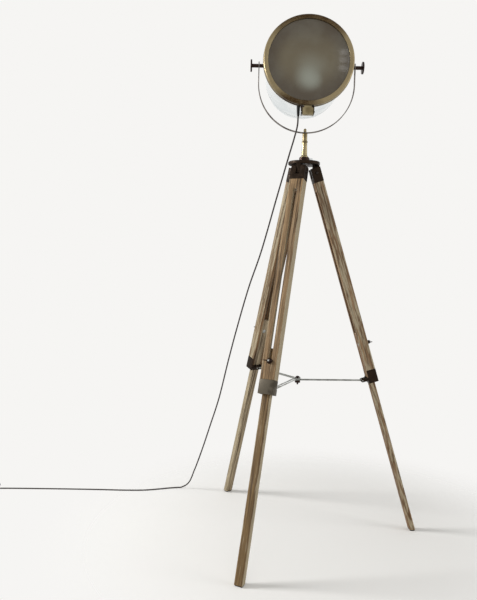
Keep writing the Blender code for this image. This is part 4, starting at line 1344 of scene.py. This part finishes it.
# ---------------------------------------------------------------- drum
@dataclass
class Drum:
    """The spun drum with its gasket, reflector, lamp, bosses, gland, hinge ears and catch.

    Attributes:
        local: the drum's own axes: x to the right, y up, z out through the glass.
    """

    local: Matrix
    radius: float = mm(119)
    wall: float = mm(1.5)
    front: float = mm(39.5)
    back: float = mm(-172)
    bezel_radius: float = mm(127.5)

    def build(self) -> None:
        """Shell first, then what is in it and on it."""
        self.shell()
        self.lamp()
        self.fittings()

    def outline(self, inset: float) -> list:
        """The shell's line from its mouth to the middle of its back.

        Args:
            inset: how far the line lies inside the outer one.

        Returns:
            Pairs of radius and height.
        """
        radius = self.radius - inset
        back = self.back + inset
        corner = mm(45)
        rear = radius - mm(6)
        bead = [(radius + mm(0.9) * math.sin(math.pi * i / 6), mm(8) - mm(5) * i / 6) for i in range(7)]
        rib = [
            (rear - mm(0.1) + mm(0.8) * math.sin(math.pi * i / 6), mm(-108) - mm(5) * i / 6) for i in range(7)
        ]
        shoulder = arc((rear - corner, back + corner), corner, 0, -90, 22)
        return [(radius, self.front), *bead, (radius, 0), *rib, *shoulder, (mm(30), back), (0, back)]

    def shell(self) -> None:
        """Shell, gasket and reflector."""
        skin = list(reversed(self.outline(self.wall))) + self.outline(0)
        settle(turn("spun_shell", skin, self.local, 160), "head", NICKEL, "head_housing")
        out, into = self.bezel_radius + mm(0.7), self.radius - mm(3)
        band = soften([(into, mm(41.5)), (out, mm(41.5)), (out, mm(40)), (into, mm(40))], mm(0.5))
        settle(turn("glass_gasket", band, self.local, 160, closed=True), "head", GASKET, "lens_gasket")
        mouth, neck, focal, rim = mm(110), mm(22), mm(34.5), mm(28)
        radii = [neck + (mouth - neck) * i / 30 for i in range(31)]
        bowl = [(r, rim - (mouth**2 - r * r) / (4 * focal)) for r in radii]
        sheet = list(reversed(bowl)) + [(r, z - mm(1)) for r, z in bowl]
        settle(
            turn("parabolic_reflector", sheet, self.local, 128, closed=True), "head", SPUN_ALUMINIUM,
            "reflector"
        )

    def lamp(self) -> None:
        """Porcelain lampholder and a clear globe bulb."""
        floor = self.back + self.wall + GAP
        holder = soften(
            [
                (0, mm(-91.5)), (mm(13.9), mm(-91.5)), (mm(13.9), mm(-64)), (mm(18.5), mm(-64)),
                (mm(19.5), mm(-66)),
                (mm(19.5), mm(-115)), (mm(12), mm(-125)), (mm(12), floor + mm(5)), (mm(18), floor + mm(4)),
                (mm(18), floor), (0, floor),
            ],
            mm(1.2),
        )
        settle(turn("porcelain_holder", holder, self.local), "head", PORCELAIN, "lamp_socket")
        thread = [
            (mm(12.9) + mm(0.35) * math.cos(math.tau * i / 8), mm(-61) - mm(24) * i / 56) for i in range(57)
        ]
        cap = [(0, mm(-60)), (mm(12.6), mm(-60)), *thread, (mm(9), mm(-90.5)), (0, mm(-90.5))]
        settle(turn("screw_cap", cap, self.local), "head", SPUN_ALUMINIUM, "bulb_cap")
        globe = [
            (0, mm(20)), *arc((0, mm(-10)), mm(30), 87, -56, 40), (mm(13.2), mm(-48)), (mm(13.0), mm(-59.7))
        ]
        settle(turn("globe_bulb", [*globe, (0, mm(-59.7))], self.local), "head", CLEAR, "bulb_glass")

    def fittings(self) -> None:
        """Bosses, gland, hinge ears with their pin, and the catch."""
        for sign, side in ((-1, "left"), (1, "right")):
            outward = self.local @ Matrix.Rotation(sign * math.pi / 2, 4, "Y")
            start, end, radius, bore = self.radius + GAP, mm(136.55), mm(5.25), mm(3.3)
            tube = [
                (bore, start + mm(2.7)), (radius + mm(1.6), start), (radius + mm(1.6), start + mm(1.2)),
                (radius, start + mm(3)), (radius, end - mm(0.4)), (radius - mm(0.4), end), (bore, end),
            ]
            boss = turn(f"boss_{side}", soften(tube, mm(0.4)), outward, 64, closed=True)
            settle(boss, "head", BLACK_LACQUER, f"trunnion_boss_{side}")
        down = self.local @ Matrix.Translation((mm(-24.5), 0, mm(28))) @ Matrix.Rotation(math.pi / 2, 4, "X")
        ribs = []
        for i in range(7):
            high = mm(126) + mm(3.2) * i
            wide = mm(5.0) - mm(0.19) * i
            ribs += [
                (wide, high), (wide, high + mm(1.9)), (wide - mm(0.7), high + mm(2.2)),
                (wide - mm(0.7), high + mm(2.9))
            ]
        sleeve = [
            (0, mm(111)), (mm(4.7), mm(111)), (mm(4.7), mm(122)), (mm(5), mm(122)), *ribs, (mm(3.5), mm(150)),
            (0, mm(150))
        ]
        settle(turn("ribbed_gland", sleeve, down, 64), "head", RUBBER, "cord_gland")
        settle(
            refined("bezel_hinge_ears", "hinge_ears", self.local, mm(0.5)), "head", BLACK_IRON,
            "bezel_hinge_ears"
        )
        settle(refined("bezel_hinge_pin", "hinge_pin", self.local, mm(0.4)), "head", ZINC, "bezel_hinge_pin")
        settle(refined("bezel_catch", "catch", self.local, mm(0.4)), "head", ZINC, "bezel_catch")


@dataclass
class Bezel:
    """The hinged ring with its glass and its hinge block.

    Attributes:
        local: the drum's own axes.
    """

    local: Matrix
    radius: float = mm(127.5)
    opening: float = mm(114.2)
    front: float = mm(60)
    back: float = mm(42.2)

    def build(self) -> None:
        """Ring, glass and block."""
        lip = mm(3.2)
        skin = mm(3)
        ring = [
            (self.opening, self.front - mm(2.4)),
            *arc((self.opening + mm(1.4), self.front - mm(2.4)), mm(1.4), 180, 90, 5),
            (self.opening + mm(4.2), self.front - mm(0.3)),
            *arc((self.radius - mm(5), self.front - mm(5)), mm(5), 84, 0, 12),
            (self.radius, self.back + mm(3.2)),
            (self.radius + mm(0.5), self.back + mm(2.4)),
            (self.radius + mm(0.5), self.back + mm(0.5)),
            (self.radius, self.back),
            (self.radius - skin, self.back),
            (self.radius - skin, self.front - mm(1) - lip),
            (self.opening, self.front - mm(1) - lip),
        ]
        settle(turn("spun_bezel", ring, self.local, 192, closed=True), "bezel", BRASS_RING, "bezel_ring")
        seat = self.front - mm(1) - lip - GAP
        rim = self.radius - mm(4)
        dome, thick, count = mm(4.5), mm(3.5), 24
        reach = self.opening - mm(1)
        front = [(reach * i / count, seat + dome * (1 - (i / count) ** 2)) for i in range(count + 1)]
        pane = [*front, (rim - mm(0.4), seat), (rim, seat - mm(0.4)), (rim, seat - thick)]
        pane += [(r, z - thick) for r, z in reversed(front)]
        settle(turn("domed_glass", pane, self.local, 160), "bezel", SMOKED, "lens_glass")
        block = refined("bezel_knuckle", "hinge_block", self.local, mm(0.9), 3)
        settle(block, "bezel", BRASS_POST, "bezel_knuckle")


@dataclass
class TiltKnob:
    """A thin knurled disc on a neck, whose stud passes the yoke into the drum's boss.

    Attributes:
        local: the drum's own axes.
        side: left or right.
    """

    local: Matrix
    side: str
    face: float = mm(162.5)
    radius: float = mm(17.2)
    disc: float = mm(4.5)
    neck: float = mm(5.25)
    stud: float = mm(3)

    def build(self) -> None:
        """Turns the knob and cuts its knurl."""
        sign = 1 if self.side == "right" else -1
        outward = self.local @ Matrix.Rotation(sign * math.pi / 2, 4, "Y")
        back = self.face - self.disc
        outline = [
            (0, self.face - mm(0.5)),
            (mm(6.5), self.face - mm(0.5)),
            *arc((mm(7.5), self.face - mm(0.7)), mm(0.7), 180, 90, 4),
            *arc((self.radius - mm(0.9), self.face - mm(0.9)), mm(0.9), 90, 0, 5),
            (self.radius, (self.face + back) / 2),
            *arc((self.radius - mm(0.9), back + mm(0.9)), mm(0.9), 0, -90, 5),
            *arc((self.neck + mm(1.6), back - mm(1.6)), mm(1.6), 90, 180, 5),
            (self.neck, mm(140.2)),
            (self.neck - mm(0.4), mm(139.7)),
            (self.stud, mm(139.7)),
            (self.stud, mm(124)),
            (0, mm(124)),
        ]
        ridges = Knurl(44, mm(0.45), back + mm(0.85), self.face - mm(0.85))
        knob = turn(f"knurled_knob_{self.side}", outline, outward, 44 * 5, knurls=[ridges])
        settle(knob, f"knob_{self.side}", BLACK_LACQUER, f"tilt_knob_{self.side}")


# ---------------------------------------------------------------- legs
class LegName(Enum):
    """The three legs, by where they stand."""

    RIGHT = "right"
    LEFT = "left"
    FRONT = "front"


@dataclass(frozen=True)
class LegTimber:
    """The woods and irons of one leg.

    Attributes:
        upper: the outer board's finish.
        lower: the runner's finish.
        band: the finish of the band at the board's lower end.
        bar: the finish of the spreader's bar.
    """

    upper: Finish
    lower: Finish
    band: Finish
    bar: Finish


def timber(name: str, ground: str, width: float, side: float, worn: float, seed: float) -> WeatheredHardwood:
    """One board's wood.

    Args:
        name: the finish's name.
        ground: the face's brown.
        width: the board's width.
        side: how pale its sides are painted, partly weathering and partly painted light.
        worn: how grey its faces are.
        seed: its own figure.

    Returns:
        The finish.
    """
    return WeatheredHardwood(
        name, "weathered_wood", ground, "#3f2c18", "#a99b7f", width / 2, side, worn, seed
    )


# The fourth number of each board paints its sides paler, partly weathering and partly painted light; most on
# the front leg.
TIMBERS = {
    LegName.RIGHT: LegTimber(
        timber("hardwood_board_right", "#967653", mm(42), 0.0, 0.12, 1.7),
        timber("hardwood_runner_right", "#8b6b49", mm(23), 0.0, 0.15, 5.1),
        BLACK_IRON,
        BAR_STEEL,
    ),
    LegName.LEFT: LegTimber(
        timber("hardwood_board_left", "#8f6c45", mm(42), 0.2, 0.2, 12.3),
        timber("hardwood_runner_left", "#b3a283", mm(23), 0.2, 0.35, 8.9),
        BLACK_IRON,
        BAR_STEEL,
    ),
    LegName.FRONT: LegTimber(
        timber("hardwood_board_front", "#a3845c", mm(42), 0.8, 0.15, 22.9),
        timber("hardwood_runner_front", "#84693f", mm(23), 0.75, 0.3, 31.4),
        WORN_IRON,
        ZINC,
    ),
}


@dataclass
class Leg:
    """One leg: shoe, grooved board, band with lugs, runner, clamp bolt, wing nut, pad and spreader bar.

    Attributes:
        name: which leg it is.
        board_width: the board's width, across its face.
    """

    name: LegName
    board_width: float = mm(42)

    def axes(self) -> Matrix:
        """The leg's own axes: x out of its face, y across it, z up along its grain."""
        across = Vector(JOINTS[f"leg_{self.name.value}_fold"]["axis"]).normalized()
        up = -Vector(JOINTS[f"leg_{self.name.value}_slide"]["axis"]).normalized()
        return axes_at(joint_place(f"leg_{self.name.value}_fold"), across.cross(up), across, up)

    def build(self) -> None:
        """Each piece in the leg's own axes, so that the grain follows the leg."""
        word = self.name.value
        wood = TIMBERS[self.name]
        local = self.axes()
        upper, lower = f"leg_upper_{word}", f"leg_lower_{word}"
        plan = (
            (f"leg_cap_{word}", f"cast_shoe_{word}", mm(1.2), upper, BLACK_IRON),
            (f"upper_leg_{word}", f"grooved_board_{word}", mm(1.0), upper, wood.upper),
            (f"leg_bracket_{word}", f"folded_band_{word}", mm(0.5), upper, wood.band),
            (f"stay_pin_{word}", f"rivet_{word}", mm(0.4), upper, ZINC),
            (f"lower_leg_{word}", f"runner_{word}", mm(1.3), lower, wood.lower),
            (f"foot_pad_{word}", f"rubber_pad_{word}", mm(0.6), lower, RUBBER),
            (f"stay_{word}", f"slotted_bar_{word}", mm(0.35), f"stay_{word}", wood.bar),
        )
        for node, piece, edge, body, finish in plan:
            settle(refined(node, piece, local, edge), body, finish, node)
        self.hinge_bolt(local)
        self.clamp_bolt(local)
        self.wing_nut(local)

    def hinge_bolt(self, local: Matrix) -> None:
        """A round bar with domed ends through the shoe's cheeks.

        Args:
            local: the leg's own axes.
        """
        reach, radius = self.board_width / 2 + mm(3.4), mm(4)
        dome = arc((0, 0), radius, 88, 0, 8)
        tip = [(r, reach - radius * 0.4 + z * 0.4) for r, z in dome]
        outline = [(0, reach), *tip, *[(r, -z) for r, z in reversed(tip)], (0, -reach)]
        along = local @ Matrix.Rotation(math.pi / 2, 4, "X")
        bolt = turn(f"hinge_bar_{self.name.value}", outline, along, 48)
        settle(bolt, "crown", BLUED, f"hinge_bolt_{self.name.value}")

    def clamp_bolt(self, local: Matrix) -> None:
        """The bolt that clamps the runner, with its thread cut as rings.

        Args:
            local: the leg's own axes.
        """
        node = f"clamp_bolt_{self.name.value}"
        corners = [local.inverted() @ vertex.co for vertex in frame["nodes"][node].data.vertices]
        start, end = min(c.x for c in corners), max(c.x for c in corners)
        along = sum(c.z for c in corners) / len(corners)
        head = start + mm(2.5)
        thread = []
        pitch, turns = mm(1.0), 12
        for i in range(turns):
            base = end - mm(0.8) - pitch * (turns - i)
            thread += [(mm(2.75), base), (mm(3.0), base + pitch / 2)]
        outline = [
            (0, start), (mm(5.6), start), (mm(6), start + mm(0.4)), (mm(6), head), (mm(3), head), *thread
        ]
        outline += [(mm(2.75), end - mm(0.7)), (mm(2.3), end), (0, end)]
        out = local @ Matrix.Translation((0, 0, along)) @ Matrix.Rotation(math.pi / 2, 4, "Y")
        settle(
            turn(f"threaded_bolt_{self.name.value}", outline, out, 32), f"leg_lower_{self.name.value}", ZINC,
            node
        )

    def wing_nut(self, local: Matrix) -> None:
        """A forged wing nut: a coned hub with two upswept ears.

        Args:
            local: the leg's own axes.
        """
        word = self.name.value
        corners = [
            local.inverted() @ vertex.co for vertex in frame["nodes"][f"wing_nut_{word}"].data.vertices
        ]
        seat = min(c.x for c in corners)
        along = (min(c.z for c in corners) + max(c.z for c in corners)) / 2
        out = local @ Matrix.Translation((seat, 0, along)) @ Matrix.Rotation(math.pi / 2, 4, "Y")
        hub = soften(
            [
                (mm(3.4), mm(9)), (mm(5), mm(9)), (mm(6.2), mm(2.4)), (mm(7.8), mm(1.9)), (mm(7.8), 0),
                (mm(3.4), 0)
            ], mm(0.7)
        )
        nut = turn(f"wing_nut_forged_{word}", hub, out, 64, closed=True)
        ears = [self.ear(out, sign) for sign in (-1, 1)]
        settle(joined(nut, ears), f"wing_{word}", BLACK_LACQUER, f"wing_nut_{word}")

    @staticmethod
    def ear(out: Matrix, sign: int) -> Piece:
        """One ear: a flat rounded paddle that leans outwards.

        Args:
            out: the nut's axes, z along its bolt.
            sign: which side it is on.

        Returns:
            The ear.
        """
        bm = bmesh.new()
        bmesh.ops.create_uvsphere(bm, u_segments=24, v_segments=16, radius=1)
        for vertex in bm.verts:
            thick, wide, high = vertex.co.x * mm(1.45), vertex.co.y * mm(5.9), vertex.co.z * mm(4.9)
            lean = high + wide * 0.62 * (1 if sign > 0 else -1)
            vertex.co = (thick, sign * mm(9.3) + wide, mm(8.6) + lean)
        return new_piece("ear", bm, out)


@dataclass
class Spreader:
    """The centre bolt through the three slotted bars, and the knob under them.

    Attributes:
        level: the middle of the three bars on the tripod's axis.
        stack: half the height of the three bars, one on another.
        head_height: how far the bolt's head stands above them.
        bolt_low: where the bolt's thread ends, before its chamfer.
    """

    level: Vector
    stack: float = mm(4.05)
    head_height: float = mm(4.5)
    bolt_low: float = mm(-16.6)

    def build(self) -> None:
        """Bolt and knob."""
        local = Matrix.Translation(self.level)
        top = self.stack + GAP
        bolt = [
            (0, top + self.head_height),
            *arc((0, top - mm(3.5)), mm(8), 86, 27, 12),
            (mm(7.2), top + mm(0.2)),
            (mm(7), top),
            (mm(2.5), top),
            (mm(2.5), self.bolt_low),
            (mm(2.1), mm(-17)),
            (0, mm(-17)),
        ]
        settle(turn("spreader_screw", bolt, local), "spreader", BLACK_LACQUER, "spreader_bolt")
        high = -self.stack - GAP
        low = high - mm(7)
        knob = soften([(mm(2.8), high), (mm(8), high), (mm(8), low), (mm(2.8), low)], mm(1.0))
        ridges = Knurl(28, mm(0.4), low + mm(0.9), high - mm(0.9))
        piece = turn("spreader_nut", knob, local, 28 * 5, closed=True, knurls=[ridges])
        settle(piece, "spreader_knob", BLACK_LACQUER, "spreader_knob")


# ---------------------------------------------------------------- assembly
def head_axes(tilt: Vector, lean: float) -> Matrix:
    """The drum's own axes.

    Args:
        tilt: the middle of the tilt axis.
        lean: how far the drum looks up at rest.

    Returns:
        The matrix: x right, y up, z out through the glass.
    """
    up = Vector((0, math.sin(lean), math.cos(lean)))
    forward = Vector((0, -math.cos(lean), math.sin(lean)))
    return axes_at(tilt, Vector((1, 0, 0)), up, forward)


def main() -> None:
    """Builds the lamp piece by piece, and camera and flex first."""
    crown_top = joint_place("head_pan")
    axis = Vector((crown_top.x, crown_top.y, 0))
    tilt = joint_place("head_tilt")
    head = head_axes(tilt, math.radians(4))
    yoke_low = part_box("yoke_strap")[0].z
    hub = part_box("spreader_bolt")
    level = Vector((axis.x, axis.y, hub[1].z - Spreader.head_height - Spreader.stack - GAP))
    Viewpoint(axis).build()
    Flex(head).build()
    Studio(Vector((0, 0, 0))).build()
    Crown(crown_top).build()
    Post(crown_top, yoke_low - crown_top.z).build()
    Yoke(tilt, yoke_low).build()
    Drum(head).build()
    Bezel(head).build()
    for side in ("left", "right"):
        TiltKnob(head, side).build()
    for name in LegName:
        Leg(name).build()
    Spreader(level).build()


if __name__ == "__main__":
    main()
